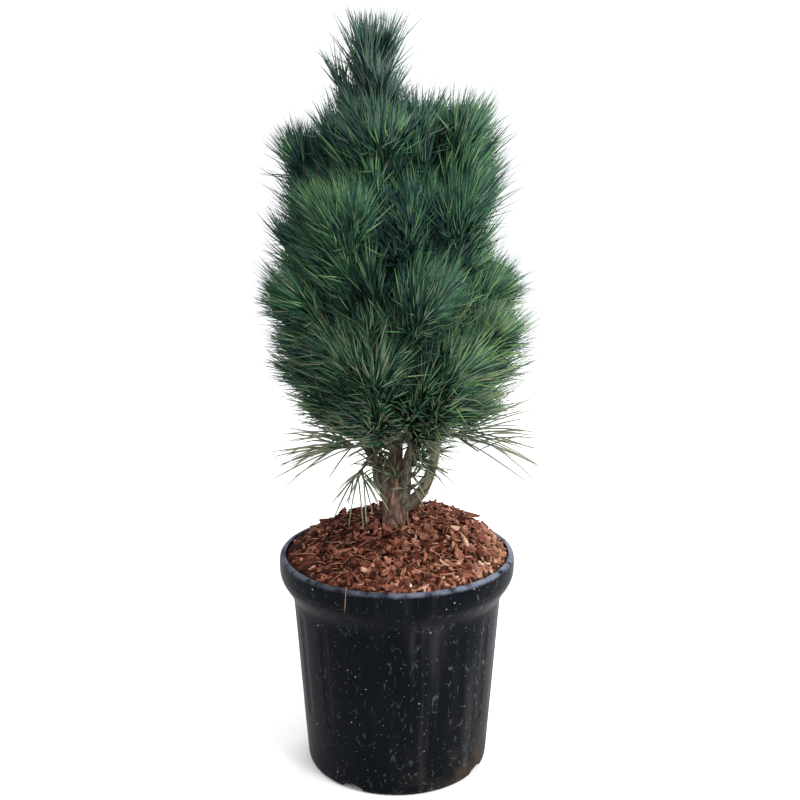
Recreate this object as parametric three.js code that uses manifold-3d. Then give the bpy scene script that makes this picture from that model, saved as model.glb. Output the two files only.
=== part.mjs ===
// A compact upright mugo pine growing in a round black nursery container topped with bark mulch.
// Millimetres, +Z up, +X to the right, -Y to the front. The origin is the centre of the container's
// flat underside.
//
// From the ground up: container, growing medium, bark mulch, trunk, boughs, tufts. A tuft is one mass
// of foliage: a stem that carries on from its bough, twigs that fan out of the stem, needles that
// stand out of each twig, and a small dense core round the fork with needles of its own. Every tuft
// keeps to a cell, which a plane towards each other tuft bounds.
import * as THREE from "three";
import { mergeVertices } from "three/addons/utils/BufferGeometryUtils.js";
import Module from "manifold-3d";

const wasm = await Module();
wasm.setup();

// ---------------------------------------------------------------- driving dimensions
const CLEARANCE = 0.3; // gap between pieces that meet

const POT_HEIGHT = 320; // a 20 litre container
const RIM_RADIUS = 170;
const RIM_BAND = 29; // height of the rim's straight band
const LIP_RADIUS = 161; // inner edge of the lip
const COVE_HEIGHT = 42; // where the wall flares out to the rim
const WALL_TOP_RADIUS = 150;
const BASE_RADIUS = 133;
const BASE_CORNER = 10;
const WALL = 2.6;
const FLOOR = 4;
const POT_SIDES = 32;
const DRAIN_COUNT = 4;
const DRAIN_BEARING = 241; // degrees from +X, of the first drain
const DRAIN = { deep: 34, wide: 36, high: 11 };

const SOIL_EDGE_HEIGHT = 292; // growing medium at the container's wall
const SOIL_SEAT_HEIGHT = 328; // and where the trunk stands
const SOIL_SEAT_RADIUS = 44;
const MULCH_RADIUS = 159.6; // the mulch reaches to the lip
const MULCH_SIDES = 20;
const MULCH_EDGE_HEIGHT = 313;
const MULCH_RISE = 52; // how far it heaps up round the trunk
const MULCH_FALL = 2.2; // the higher, the flatter the heap's top and the steeper its edge
const MULCH_TILT = 0.5; // the heap is higher to the right and the back
const MULCH_CHIPS = 16;

// The trunk's centre line wanders a little on its way up, from just below the flat cut to the
// stretch that runs into the leader.
const TRUNK_LINE = [
  [-2, 0, SOIL_SEAT_HEIGHT - 8],
  [-3, 0, 400],
  [-2, 2, 500],
  [-9, 2, 650],
  [-16, 0, 800],
  [-27, 0, 880],
];
const FLARE_RADIUS = 27; // at the flat cut
const FLARE_HEIGHT = 26;
const FLARE_LOBES = 5;
const FOOT_RADIUS = 20; // of the short stout foot, below the forks
const FOOT_HEIGHT = 130; // from the flat cut to where the foot has thinned into the leader
const LEADER_RADIUS = 12;
const TIP_RADIUS = 3.4;

const BOUGH_SHARE = 0.56; // a bough's radius where it leaves the trunk, as a share of the trunk's
const SLIM_SHARE = 0.3; // the same for the bough of a small tuft
const BOUGH_TIP_RADIUS = 3.6;
const STEM_LENGTH = 16; // from the bough's tip to the fork of the twigs
const RUN_IN = 14; // the straight end of a bough, in line with the stem
const TWIG_TRIES = 4; // a twig that finds no room is tried at this many turns
const TWIG_FAN = 2; // how far the outermost twigs fan out, in needle angles
const TWIG_LIFT = 0.2; // how far every twig bends upright
const TWIG_SPACING = 0.6; // least angle between two twigs, in radians
const TWIG_REACH = 1.3; // twig length as a share of the tuft's radius
const SPRAY_RADIUS = 10; // a twig and the needle sheaths that crowd round it
const SPRAY_SIDES = 5;
const NEEDLE_STAND = 62; // how far a needle stands out of the surface that hides its root
const NEEDLE_RADIUS = 3; // near its root, where it stands for a bundle
const NEEDLE_SLANT = 0.18; // least cosine between a needle and its face's normal
const SMALLEST_FACE = 1e-3;
const CORE_SHARE = 1.1; // of the tuft's radius
const CORE_STRETCH = 1.4; // along the tuft
const CORE_OFFSET = 0.3; // how far it sits past the fork, as a share of the tuft's radius
const SMALL_TUFT = 35; // a tuft under this radius has a slim bough and a plainer core
const CELL_MARGIN = 0.8; // kept clear of the plane towards a neighbouring tuft
const GOLDEN_ANGLE = Math.PI * (3 - Math.sqrt(5));

// name, bearing from +X in degrees (-90 is the front), distance from the axis and height of the fork
// where its twigs start, radius of its dense core, lean of the tuft in degrees from upright, angle
// between needle and twig in degrees, number of twigs, and where its bough leaves the trunk.
const TUFTS = [
  ["leader", 180, 34, 946, 48, 0, 17, 5],
  ["neck_front", -118, 50, 846, 44, 6, 22, 4, 760],
  ["neck_left", 164, 72, 848, 40, 4, 22, 4, 740],
  ["neck_right", 50, 48, 846, 40, 9, 24, 4, 770],
  ["upper_right", -8, 82, 844, 46, 4, 22, 5, 720],
  ["upper_right_back", 48, 88, 780, 48, 16, 26, 4, 690],
  ["upper_left", 176, 112, 816, 44, 3, 22, 5, 690],
  ["upper_back", 108, 84, 800, 48, 16, 28, 3, 690],
  ["brow_left", -176, 106, 728, 46, 18, 28, 4, 620],
  ["brow_front", -132, 86, 748, 52, 12, 26, 5, 640],
  ["brow_right", -28, 92, 754, 46, 14, 26, 4, 650],
  ["heart_front", -62, 44, 742, 44, 8, 26, 4, 660],
  ["middle_right", 6, 92, 652, 48, 18, 28, 4, 590],
  ["middle_front", -80, 84, 650, 52, 18, 30, 5, 550],
  ["middle_left", -166, 102, 658, 48, 26, 28, 4, 560],
  ["middle_back_left", 130, 90, 690, 48, 26, 30, 3, 570],
  ["middle_back_right", 72, 90, 662, 48, 26, 30, 3, 565],
  ["low_right", -18, 100, 600, 48, 34, 28, 4, 380],
  ["low_front", -112, 78, 566, 48, 34, 30, 5, 470],
  ["low_left", 184, 92, 578, 46, 34, 28, 4, 372],
  ["low_front_right", -54, 80, 560, 46, 38, 30, 4, 385],
  ["low_back_left", 132, 88, 576, 48, 40, 30, 3, 470],
  ["low_back_right", 46, 88, 570, 48, 40, 30, 3, 475],
  ["fringe_left", 204, 64, 482, 26, 97, 32, 3, 446],
  ["fringe_right", 4, 82, 492, 30, 90, 28, 3, 446],
  ["fringe_back", 90, 66, 502, 28, 80, 32, 3, 455],
  ["foot", 207, 56, 448, 14, 140, 36, 2, 404],
].map(([name, bearing, out, height, radius, lean, angle, twigs, fork], index) => ({
  name,
  fork,
  radius,
  twigs,
  index,
  hub: polar(bearing, out, height),
  axis: polar(bearing, Math.sin(radians(lean)), Math.cos(radians(lean))),
  angle: radians(angle),
}));

// The low limbs that show above the mulch bend on their way: points between the fork and the tuft.
const BOUGH_VIA = {
  low_left: [
    [-12, -2, 395],
    [-27, -3, 445],
    [-52, -5, 495],
  ],
  low_right: [
    [22, -4, 394],
    [41, -7, 420],
    [51, -9, 452],
    [58, -12, 490],
  ],
  low_front_right: [
    [9, -9, 400],
    [15, -12, 455],
  ],
};

// ---------------------------------------------------------------- helpers
function radians(degrees) {
  return THREE.MathUtils.degToRad(degrees);
}

function polar(bearing, out, height) {
  const turn = radians(bearing);
  return new THREE.Vector3(out * Math.cos(turn), out * Math.sin(turn), height);
}

const smooth = (from, to, x) => THREE.MathUtils.smoothstep(x, from, to);

// A repeatable stream of numbers from 0 to 1.
function seeded(seed) {
  let state = seed * 7919;
  return () => {
    state = (state + 0x6d2b79f5) | 0;
    let t = Math.imul(state ^ (state >>> 15), 1 | state);
    t = (t + Math.imul(t ^ (t >>> 7), 61 | t)) ^ t;
    return ((t ^ (t >>> 14)) >>> 0) / 4294967296;
  };
}

// A closed geometry as a solid. Where the geometry came out inside out, its faces are turned.
function solidOf(geometry) {
  const bare = geometry.clone();
  bare.deleteAttribute("normal");
  bare.deleteAttribute("uv");
  const merged = mergeVertices(bare, 1e-3);
  const corner = merged.index.array;
  const kept = [];
  for (let i = 0; i < corner.length; i += 3) {
    const [a, b, c] = [corner[i], corner[i + 1], corner[i + 2]];
    if (a !== b && b !== c && c !== a) kept.push(a, b, c);
  }
  const build = (triangles) =>
    new wasm.Manifold(
      new wasm.Mesh({
        numProp: 3,
        vertProperties: merged.attributes.position.array,
        triVerts: new Uint32Array(triangles),
      }),
    );
  const solid = build(kept);
  return solid.volume() > 0 ? solid : build(kept.reverse());
}

function geometryOf(solid) {
  const mesh = solid.getMesh();
  const geometry = new THREE.BufferGeometry();
  geometry.setAttribute("position", new THREE.BufferAttribute(mesh.vertProperties, 3));
  geometry.setIndex(new THREE.BufferAttribute(mesh.triVerts, 1));
  geometry.computeVertexNormals();
  return geometry;
}

// The outer skin of the largest piece: loose scraps are dropped and sealed hollows are filled.
const largest = (solid) =>
  solid.decompose().reduce((best, piece) => (piece.volume() > best.volume() ? piece : best));

const joined = (solids) => solids.reduce((whole, solid) => whole.add(solid));

function turned(profile, sides) {
  const points = profile.map(([radius, height]) => new THREE.Vector2(radius, height));
  return new THREE.LatheGeometry(points, sides).rotateX(Math.PI / 2);
}

// A closed tube along a curve. radiusAt takes the share of the length and the direction across.
function taperedTube(curve, radiusAt, sides, rings) {
  const tube = new THREE.CylinderGeometry(1, 1, 1, sides, rings);
  const frames = curve.computeFrenetFrames(rings);
  const place = tube.attributes.position;
  for (let i = 0; i < place.count; i++) {
    const ring = Math.round((0.5 - place.getY(i)) * rings);
    const across = frames.normals[ring].clone().multiplyScalar(place.getX(i));
    across.addScaledVector(frames.binormals[ring], place.getZ(i));
    const point = curve.getPointAt(ring / rings);
    point.addScaledVector(across, radiusAt(ring / rings, across));
    place.setXYZ(i, point.x, point.y, point.z);
  }
  return solidOf(tube);
}

// ---------------------------------------------------------------- container
// The wall is one skin: it rises from the floor, flares out in a cove, runs up the rim's band and
// turns in to the lip.
function wallProfile(inset) {
  const bandFoot = POT_HEIGHT - RIM_BAND;
  const coveFoot = bandFoot - COVE_HEIGHT;
  return [
    [BASE_RADIUS, BASE_CORNER],
    [WALL_TOP_RADIUS, coveFoot],
    [WALL_TOP_RADIUS + 2.5, coveFoot + 11],
    [WALL_TOP_RADIUS + 8, coveFoot + 22],
    [RIM_RADIUS - 4, coveFoot + 34],
    [RIM_RADIUS - 1.5, bandFoot],
    [RIM_RADIUS, POT_HEIGHT - 8],
  ].map(([radius, height]) => [radius - inset, height]);
}

function containerSolid() {
  const outer = wallProfile(0);
  const inner = wallProfile(WALL).reverse();
  const profile = [
    [0, 0],
    [BASE_RADIUS - BASE_CORNER, 0],
    [BASE_RADIUS - BASE_CORNER * 0.3, BASE_CORNER * 0.3],
    ...outer,
    [RIM_RADIUS - 2, POT_HEIGHT - 2.5],
    [RIM_RADIUS - 6, POT_HEIGHT],
    [LIP_RADIUS, POT_HEIGHT],
    [LIP_RADIUS, POT_HEIGHT - WALL],
    [RIM_RADIUS - 6.5, POT_HEIGHT - WALL],
    ...inner,
    [BASE_RADIUS - BASE_CORNER, FLOOR],
    [0, FLOOR],
  ];
  let pot = solidOf(turned(profile, POT_SIDES));
  for (let i = 0; i < DRAIN_COUNT; i++) {
    const bearing = DRAIN_BEARING + (360 / DRAIN_COUNT) * i;
    const cut = new THREE.BoxGeometry(DRAIN.deep, DRAIN.wide, 2 * DRAIN.high);
    cut.rotateZ(radians(bearing));
    const place = polar(bearing, BASE_RADIUS, 0);
    cut.translate(place.x, place.y, 0);
    pot = pot.subtract(solidOf(cut));
  }
  return pot;
}

// ---------------------------------------------------------------- growing medium and mulch
function soilHeight(radius) {
  const share = smooth(SOIL_SEAT_RADIUS, MULCH_RADIUS, radius);
  return THREE.MathUtils.lerp(SOIL_SEAT_HEIGHT, SOIL_EDGE_HEIGHT, share);
}

// The profile that the growing medium and the mulch share, from the wall in to the trunk's seat.
const soilRadii = [MULCH_RADIUS, (MULCH_RADIUS + SOIL_SEAT_RADIUS) / 2, SOIL_SEAT_RADIUS];

function growingMediumSolid() {
  const floor = DRAIN.high + 1;
  const coveFoot = POT_HEIGHT - RIM_BAND - COVE_HEIGHT;
  const profile = [
    [0, floor],
    [BASE_RADIUS - 2 * WALL, floor],
    [WALL_TOP_RADIUS - 2 * WALL, coveFoot],
    ...soilRadii.map((radius) => [radius, soilHeight(radius)]),
    [0, SOIL_SEAT_HEIGHT],
  ];
  return solidOf(turned(profile, MULCH_SIDES));
}

// The mulch heaps up round the trunk and falls to just under the lip.
function mulchHeight(x, y) {
  const share = Math.min(1, Math.hypot(x, y) / MULCH_RADIUS);
  const tilt = 1 + (MULCH_TILT * (x + y)) / MULCH_RADIUS;
  return MULCH_EDGE_HEIGHT + MULCH_RISE * (1 - share ** MULCH_FALL) * tilt;
}

function mulchSolid(limbRoom) {
  const next = seeded(101);
  const rings = [1, 0.9, 0.75, 0.58, 0.4, 0.2].map((share) => share * MULCH_RADIUS);
  const under = soilRadii.toReversed().map((radius) => [radius, soilHeight(radius) + CLEARANCE]);
  const profile = [
    [0, SOIL_SEAT_HEIGHT + CLEARANCE],
    ...under,
    ...rings.map((radius) => [radius, MULCH_EDGE_HEIGHT]),
    [0, MULCH_EDGE_HEIGHT],
  ];
  // lay the flat top over the heap, with lumps that die out towards the wall
  const sheet = turned(profile, MULCH_SIDES);
  const place = sheet.attributes.position;
  for (let i = 0; i < place.count; i++) {
    if (i % profile.length <= under.length) continue;
    const [x, y] = [place.getX(i), place.getY(i)];
    const lump = 3.2 * Math.sin(x / 11 + 1) * Math.sin(y / 9) + 2 * Math.sin((x - y) / 6);
    const fade = 1 - smooth(0.75, 1, Math.hypot(x, y) / MULCH_RADIUS);
    place.setZ(i, mulchHeight(x, y) + lump * fade);
  }
  const chips = [];
  for (let i = 0; i < MULCH_CHIPS; i++) {
    const chip = new THREE.BoxGeometry(14 + 10 * next(), 7 + 6 * next(), 4);
    chip.rotateX(1.2 * (next() - 0.5)).rotateY(1.2 * (next() - 0.5)).rotateZ(6.3 * next());
    const spot = polar(137.5 * i, 138 * Math.sqrt((i + 4) / (MULCH_CHIPS + 4)), 0);
    chip.translate(spot.x, spot.y, mulchHeight(spot.x, spot.y) + 2);
    chips.push(solidOf(chip));
  }
  return largest(joined([solidOf(sheet), ...chips]).subtract(limbRoom));
}

// ---------------------------------------------------------------- trunk and boughs
const vector = ([x, y, z]) => new THREE.Vector3(x, y, z);

// Where a limb's tip meets the tuft's stem. The limb runs into it in line with the stem.
const tuftRoot = (tuft) => tuft.hub.clone().addScaledVector(tuft.axis, -STEM_LENGTH);
const runIn = (tuft) => tuftRoot(tuft).addScaledVector(tuft.axis, -RUN_IN);
const isSmall = (tuft) => tuft.radius < SMALL_TUFT;

const trunkPoints = [...TRUNK_LINE.map(vector), runIn(TUFTS[0]), tuftRoot(TUFTS[0])];
const trunkCurve = new THREE.CatmullRomCurve3(trunkPoints);
const trunkFoot = trunkPoints[0].z;
const trunkRise = trunkPoints.at(-1).z - trunkFoot;
const trunkShareAt = (height) => (height - trunkFoot) / trunkRise;

function trunkRadius(share, across = null) {
  const height = trunkFoot + share * trunkRise - SOIL_SEAT_HEIGHT;
  const leader = THREE.MathUtils.lerp(LEADER_RADIUS, TIP_RADIUS, share);
  const foot = (FOOT_RADIUS - LEADER_RADIUS) * (1 - smooth(0.3 * FOOT_HEIGHT, FOOT_HEIGHT, height));
  const flare = (FLARE_RADIUS - FOOT_RADIUS) * (1 - smooth(0, FLARE_HEIGHT, height));
  const lobe = across ? 1 + 0.35 * Math.sin(FLARE_LOBES * Math.atan2(across.y, across.x)) : 1;
  return leader + foot + flare * lobe;
}

function boughCurve(tuft) {
  const from = trunkCurve.getPointAt(trunkShareAt(tuft.fork));
  const to = tuftRoot(tuft);
  // it leaves the trunk outwards and turns up into the tuft
  const bend = from.clone().lerp(to, 0.65);
  bend.z = from.z + 0.35 * (to.z - from.z);
  const via = BOUGH_VIA[tuft.name]?.map(vector) ?? [bend];
  return new THREE.CatmullRomCurve3([from, ...via, runIn(tuft), to]);
}

function limbsOf(tufts) {
  const trunk = { name: "trunk", curve: trunkCurve, radiusAt: trunkRadius, sides: 10, rings: 16 };
  const boughs = tufts.slice(1).map((tuft) => {
    const base = trunkRadius(trunkShareAt(tuft.fork)) * (isSmall(tuft) ? SLIM_SHARE : BOUGH_SHARE);
    return {
      name: `bough_${tuft.name}`,
      curve: boughCurve(tuft),
      radiusAt: (share) => THREE.MathUtils.lerp(base, BOUGH_TIP_RADIUS, share ** 0.8),
      sides: 5,
      rings: BOUGH_VIA[tuft.name] ? 8 : 4,
    };
  });
  return [trunk, ...boughs];
}

const limbSolid = ({ curve, radiusAt, sides, rings }, extra) =>
  taperedTube(curve, (share, across) => radiusAt(share, across) + extra, sides, rings);

// ---------------------------------------------------------------- tufts
// The plane between two tufts stands where their two balls of twigs would meet.
function cellOf(tuft, tufts) {
  const others = tufts.filter((other) => other !== tuft);
  return others.map((other) => {
    const towards = other.hub.clone().sub(tuft.hub);
    const gap = towards.length();
    const share = (gap ** 2 + tuft.radius ** 2 - other.radius ** 2) / (2 * gap);
    const normal = towards.normalize();
    const point = tuft.hub.clone().addScaledVector(normal, share - CELL_MARGIN);
    return new THREE.Plane().setFromNormalAndCoplanarPoint(normal, point);
  });
}

// The limbs as strings of balls, to keep twigs and needles clear of them.
function limbBalls(limbs) {
  return limbs.flatMap(({ curve, radiusAt }) => {
    const steps = Math.ceil(curve.getLength() / 6);
    return Array.from({ length: steps + 1 }, (_, i) => ({
      centre: curve.getPointAt(i / steps),
      radius: radiusAt(i / steps),
    }));
  });
}

function hasRoom(from, to, radius, cell, balls) {
  const outside = (plane) =>
    plane.distanceToPoint(from) > -radius || plane.distanceToPoint(to) > -radius / 3;
  if (cell.some(outside)) return false;
  const line = new THREE.Line3(from, to);
  const nearest = new THREE.Vector3();
  return balls.every((ball) => {
    line.closestPointToPoint(ball.centre, true, nearest);
    return nearest.distanceTo(ball.centre) > ball.radius + radius + 1;
  });
}

// A direction that leans from an axis by an angle, towards a turn round it.
function leaning(axis, angle, turn) {
  const side = new THREE.Vector3(0, 0, 1).cross(axis);
  if (side.length() < 0.05) side.set(1, 0, 0);
  side.normalize().applyAxisAngle(axis, turn);
  return axis.clone().applyAxisAngle(side, angle);
}

// A turned profile stood up at a point, its axis along the given way.
function rod(from, way, profile, sides) {
  const points = profile.map(([radius, height]) => new THREE.Vector2(radius, height));
  const up = new THREE.Vector3(0, 1, 0);
  const geometry = new THREE.LatheGeometry(points, sides);
  geometry.applyQuaternion(new THREE.Quaternion().setFromUnitVectors(up, way));
  return geometry.translate(from.x, from.y, from.z);
}

// The twigs of a tuft fan out from the fork by the golden angle, each one bent a little upright.
function twigsOf(tuft, cell, balls, next) {
  const twigs = [];
  for (let i = 0; i < tuft.twigs * TWIG_TRIES && twigs.length < tuft.twigs; i++) {
    const fan = TWIG_FAN * tuft.angle * Math.sqrt((i % tuft.twigs) / tuft.twigs);
    const way = leaning(tuft.axis, fan, GOLDEN_ANGLE * i + 0.5 * next());
    way.z += TWIG_LIFT;
    way.normalize();
    const length = TWIG_REACH * tuft.radius * (0.9 + 0.2 * next());
    const belly = tuft.hub.clone().addScaledVector(way, length / 2);
    const tip = tuft.hub.clone().addScaledVector(way, length);
    const apart = twigs.every((twig) => twig.way.angleTo(way) > TWIG_SPACING);
    if (apart && hasRoom(belly, tip, SPRAY_RADIUS, cell, balls)) twigs.push({ way, length });
  }
  return twigs;
}

// A closed surface with a needle drawn out to a point from each face, where wayOf gives one a
// direction and it finds room.
function bristledSolid(geometry, wayOf, cell, balls, next) {
  const place = geometry.attributes.position;
  const order = geometry.index ? geometry.index.array : [...Array(place.count).keys()];
  const corner = [];
  for (let i = 0; i < order.length; i += 3) {
    const at = (k) => new THREE.Vector3().fromBufferAttribute(place, order[i + k]);
    const [a, b, c] = [at(0), at(1), at(2)];
    const face = new THREE.Triangle(a, b, c);
    if (face.getArea() < SMALLEST_FACE) continue;
    const root = face.getMidpoint(new THREE.Vector3());
    const normal = face.getNormal(new THREE.Vector3());
    const way = wayOf(root, normal);
    const tip = root.clone().addScaledVector(way, NEEDLE_STAND * (0.75 + 0.5 * next()));
    const stands = way.dot(normal) > NEEDLE_SLANT;
    if (stands && hasRoom(root, tip, NEEDLE_RADIUS, cell, balls)) {
      corner.push(a, b, tip, b, c, tip, c, a, tip);
    } else {
      corner.push(a, b, c);
    }
  }
  return solidOf(new THREE.BufferGeometry().setFromPoints(corner));
}

// A spray: the slim dense core along a twig and the needles that stand out of it. The lower a
// needle sits on the twig, the further out it leans.
function spraySolid(tuft, twig, cell, balls, next) {
  const profile = [
    [0, 0],
    [SPRAY_RADIUS, 0.35 * twig.length],
    [SPRAY_RADIUS * 0.9, 0.6 * twig.length],
    [SPRAY_RADIUS * 0.7, 0.82 * twig.length],
    [0, twig.length],
  ];
  const wayOf = (root) => {
    const outward = root.clone().sub(tuft.hub);
    const along = outward.dot(twig.way);
    outward.addScaledVector(twig.way, -along).normalize();
    const angle = tuft.angle * (1.5 - along / twig.length);
    return outward.multiplyScalar(Math.sin(angle)).addScaledVector(twig.way, Math.cos(angle));
  };
  return bristledSolid(rod(tuft.hub, twig.way, profile, SPRAY_SIDES), wayOf, cell, balls, next);
}

// The dense middle of a tuft: a ball drawn out along the tuft, and pulled in wherever it would
// leave the tuft's cell. Needles stand out of it at the tuft's angle.
function coreSolid(tuft, twigs, cell, balls, next) {
  const centre = tuft.hub.clone().addScaledVector(tuft.axis, CORE_OFFSET * tuft.radius);
  const detail = isSmall(tuft) ? 0 : 1;
  const ball = new THREE.IcosahedronGeometry(CORE_SHARE * tuft.radius, detail);
  const place = ball.attributes.position;
  const point = new THREE.Vector3();
  for (let i = 0; i < place.count; i++) {
    point.fromBufferAttribute(place, i);
    point.addScaledVector(tuft.axis, (CORE_STRETCH - 1) * point.dot(tuft.axis)).add(centre);
    for (const plane of [...cell, ...cell, ...cell]) {
      const over = plane.distanceToPoint(point);
      if (over > 0) point.addScaledVector(plane.normal, -over);
    }
    place.setXYZ(i, point.x, point.y, point.z);
  }
  // the sprays have the room round the twigs to themselves
  const wayOf = (root, normal) => {
    const outward = root.clone().sub(tuft.hub);
    if (twigs.some((twig) => twig.way.angleTo(outward) < TWIG_SPACING)) return normal.set(0, 0, 0);
    return normal.clone().multiplyScalar(Math.tan(tuft.angle)).add(tuft.axis).normalize();
  };
  return bristledSolid(ball, wayOf, cell, balls, next);
}

function tuftSolid(tuft, tufts, balls, limbRoom) {
  const next = seeded(tuft.index + 1);
  const cell = cellOf(tuft, tufts);
  const root = tuftRoot(tuft).addScaledVector(tuft.axis, CLEARANCE);
  const stem = STEM_LENGTH + 0.5 * tuft.radius;
  const profile = [[0, 0], [BOUGH_TIP_RADIUS, 0], [BOUGH_TIP_RADIUS, stem], [0, stem]];
  const twigs = twigsOf(tuft, cell, balls, next);
  const core = coreSolid(tuft, twigs, cell, balls, next).subtract(limbRoom);
  const sprays = twigs.map((twig) => spraySolid(tuft, twig, cell, balls, next));
  const parts = [core, solidOf(rod(root, tuft.axis, profile, 5)), ...sprays];
  return largest(joined(parts));
}

// ---------------------------------------------------------------- the whole plant
const FINISH = {
  pot: { color: 0x14161a, roughness: 0.42, metalness: 0 },
  growing_medium: { color: 0x35271c, roughness: 0.95, metalness: 0 },
  bark_mulch: { color: 0x9a5a34, roughness: 0.9, metalness: 0 },
  bark: { color: 0x6b5a49, roughness: 0.9, metalness: 0 },
  needles: { color: 0x3f6b4a, roughness: 0.6, metalness: 0 },
};

const plant = new THREE.Group();

function place(name, solid, finish) {
  const mesh = new THREE.Mesh(geometryOf(solid), new THREE.MeshStandardMaterial(FINISH[finish]));
  mesh.name = name;
  plant.add(mesh);
}

const limbs = limbsOf(TUFTS);
const balls = limbBalls(limbs);
let limbRoom = limbSolid(limbs[0], CLEARANCE);

place("pot", containerSolid(), "pot");
place("growing_medium", growingMediumSolid(), "growing_medium");
place("trunk", limbSolid(limbs[0], 0).trimByPlane([0, 0, 1], SOIL_SEAT_HEIGHT + CLEARANCE), "bark");
for (const limb of limbs.slice(1)) {
  place(limb.name, largest(limbSolid(limb, 0).subtract(limbRoom)), "bark");
  limbRoom = limbRoom.add(limbSolid(limb, CLEARANCE));
}
place("bark_mulch", mulchSolid(limbRoom), "bark_mulch");
for (const tuft of TUFTS) {
  place(`tuft_${tuft.name}`, tuftSolid(tuft, TUFTS, balls, limbRoom), "needles");
}

export default plant;
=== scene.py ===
# %% [markdown]
# # A mugo pine in its nursery pot
#
# The packed CAD model is the frame of this scene: it says where the pot stands, where each bough
# runs and how far each mass of foliage reaches. This lesson grows the fine detail on it, piece by
# piece: a blown plastic pot, a heap of bark chips, bark with a relief, thin shoots, and tens of
# thousands of needles. All sizes are written in millimetres and turned into metres on the way into
# a mesh. +Z is up, -Y is the front, and the origin is the centre of the pot's flat underside.

# %% Load the frame
import math

import bpy
import numpy as np
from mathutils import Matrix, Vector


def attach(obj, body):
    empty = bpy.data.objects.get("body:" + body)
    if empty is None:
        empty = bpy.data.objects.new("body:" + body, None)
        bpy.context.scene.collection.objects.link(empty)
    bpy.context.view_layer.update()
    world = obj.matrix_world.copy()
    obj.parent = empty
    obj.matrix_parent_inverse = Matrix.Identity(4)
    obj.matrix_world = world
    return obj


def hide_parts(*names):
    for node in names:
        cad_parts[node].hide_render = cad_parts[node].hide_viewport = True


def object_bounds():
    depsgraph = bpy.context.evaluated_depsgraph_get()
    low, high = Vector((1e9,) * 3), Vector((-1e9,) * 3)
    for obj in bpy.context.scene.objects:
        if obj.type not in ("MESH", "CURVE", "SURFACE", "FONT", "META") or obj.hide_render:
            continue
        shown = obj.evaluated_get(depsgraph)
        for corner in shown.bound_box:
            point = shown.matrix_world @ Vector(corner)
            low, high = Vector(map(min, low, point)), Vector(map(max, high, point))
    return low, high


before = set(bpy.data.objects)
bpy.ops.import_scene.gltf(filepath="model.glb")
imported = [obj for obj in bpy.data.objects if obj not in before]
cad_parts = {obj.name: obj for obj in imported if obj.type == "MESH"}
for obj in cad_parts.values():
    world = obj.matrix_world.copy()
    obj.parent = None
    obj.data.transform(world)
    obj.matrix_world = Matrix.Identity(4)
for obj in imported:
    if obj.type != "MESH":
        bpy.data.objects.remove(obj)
cad_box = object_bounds()
MM = 0.001
print("nodes in the frame:", len(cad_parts))

# %% [markdown]
# ## From arrays to meshes
#
# Every surface here is worked out as whole arrays: a function of two numbers on a grid, or one
# small shape repeated thousands of times. Blender could also make them from modifiers, but an array
# keeps the formula in sight. `put` hands the finished arrays over in one go, which stays quick for
# hundreds of thousands of faces.

# %% Small helpers
TURN = 2 * math.pi
GOLDEN_ANGLE = math.pi * (3 - math.sqrt(5))


def unit(vectors):
    """Each vector divided by its length."""
    return vectors / np.linalg.norm(vectors, axis=-1, keepdims=True)


def smooth(low, high, x):
    """0 up to low, 1 from high on, and 3t^2 - 2t^3 between them. low may be the greater."""
    t = np.clip((x - low) / (high - low), 0, 1)
    return t * t * (3 - 2 * t)


def polar(bearing, out, height):
    """The point at a bearing in degrees from +X, a distance from the axis and a height."""
    turn = np.radians(bearing)
    return np.stack(np.broadcast_arrays(out * np.cos(turn), out * np.sin(turn), height), -1)


print("golden angle in degrees:", round(math.degrees(GOLDEN_ANGLE), 2))

# %% Faces of a grid, and a mesh from arrays
def grid_faces(rows, columns):
    """Triangles of a grid of rows x columns points whose last column meets the first again."""
    row, column = np.mgrid[0:rows - 1, 0:columns]
    after = (column + 1) % columns
    a, b = row * columns + column, row * columns + after
    c, d = b + columns, a + columns
    return np.concatenate([np.stack([a, b, c], -1), np.stack([a, c, d], -1)]).reshape(-1, 3)


def cap_faces(ring, centre, facing_up):
    """Triangles from each edge of a closed ring of points to one centre point."""
    after = np.roll(ring, -1)
    first, second = (ring, after) if facing_up else (after, ring)
    return np.stack([first, second, np.full_like(ring, centre)], -1)


def tube_faces(rings, sides, closed_foot=True):
    """Triangles of a tube and its closed ends, whose middle points follow those of the rings."""
    first, count = np.arange(sides), rings * sides
    foot = [cap_faces(first, count, False)] if closed_foot else []
    end = cap_faces(first + count - sides, count + len(foot), True)
    return np.concatenate([grid_faces(rings, sides), *foot, end])


def put(name, points, faces, slot, finishes, finish_of_face=None, **marks):
    """A piece from points in millimetres and triangles. marks are numbers kept on each point."""
    mesh = bpy.data.meshes.new(name)
    mesh.vertices.add(len(points))
    mesh.vertices.foreach_set("co", (points * MM).astype(np.float32).ravel())
    mesh.loops.add(faces.size)
    mesh.loops.foreach_set("vertex_index", faces.astype(np.int32).ravel())
    mesh.polygons.add(len(faces))
    mesh.polygons.foreach_set("loop_start", np.arange(0, faces.size, 3, dtype=np.int32))
    for material in finishes:
        mesh.materials.append(material)
    if finish_of_face is not None:
        mesh.polygons.foreach_set("material_index", finish_of_face.astype(np.int32))
    mesh.polygons.foreach_set("use_smooth", np.ones(len(faces), bool))
    mesh.update(calc_edges=True)
    for mark, values in marks.items():
        layer = mesh.attributes.new(mark, "FLOAT", "POINT")
        layer.data.foreach_set("value", values.astype(np.float32).ravel())
    piece = bpy.data.objects.new(name, mesh)
    bpy.context.scene.collection.objects.link(piece)
    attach(piece, "root")
    print(f"{name}: {len(points)} points, {len(faces)} triangles")
    return piece


print("triangles of a closed tube of 2 x 6 points:", len(tube_faces(2, 6)))

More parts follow.
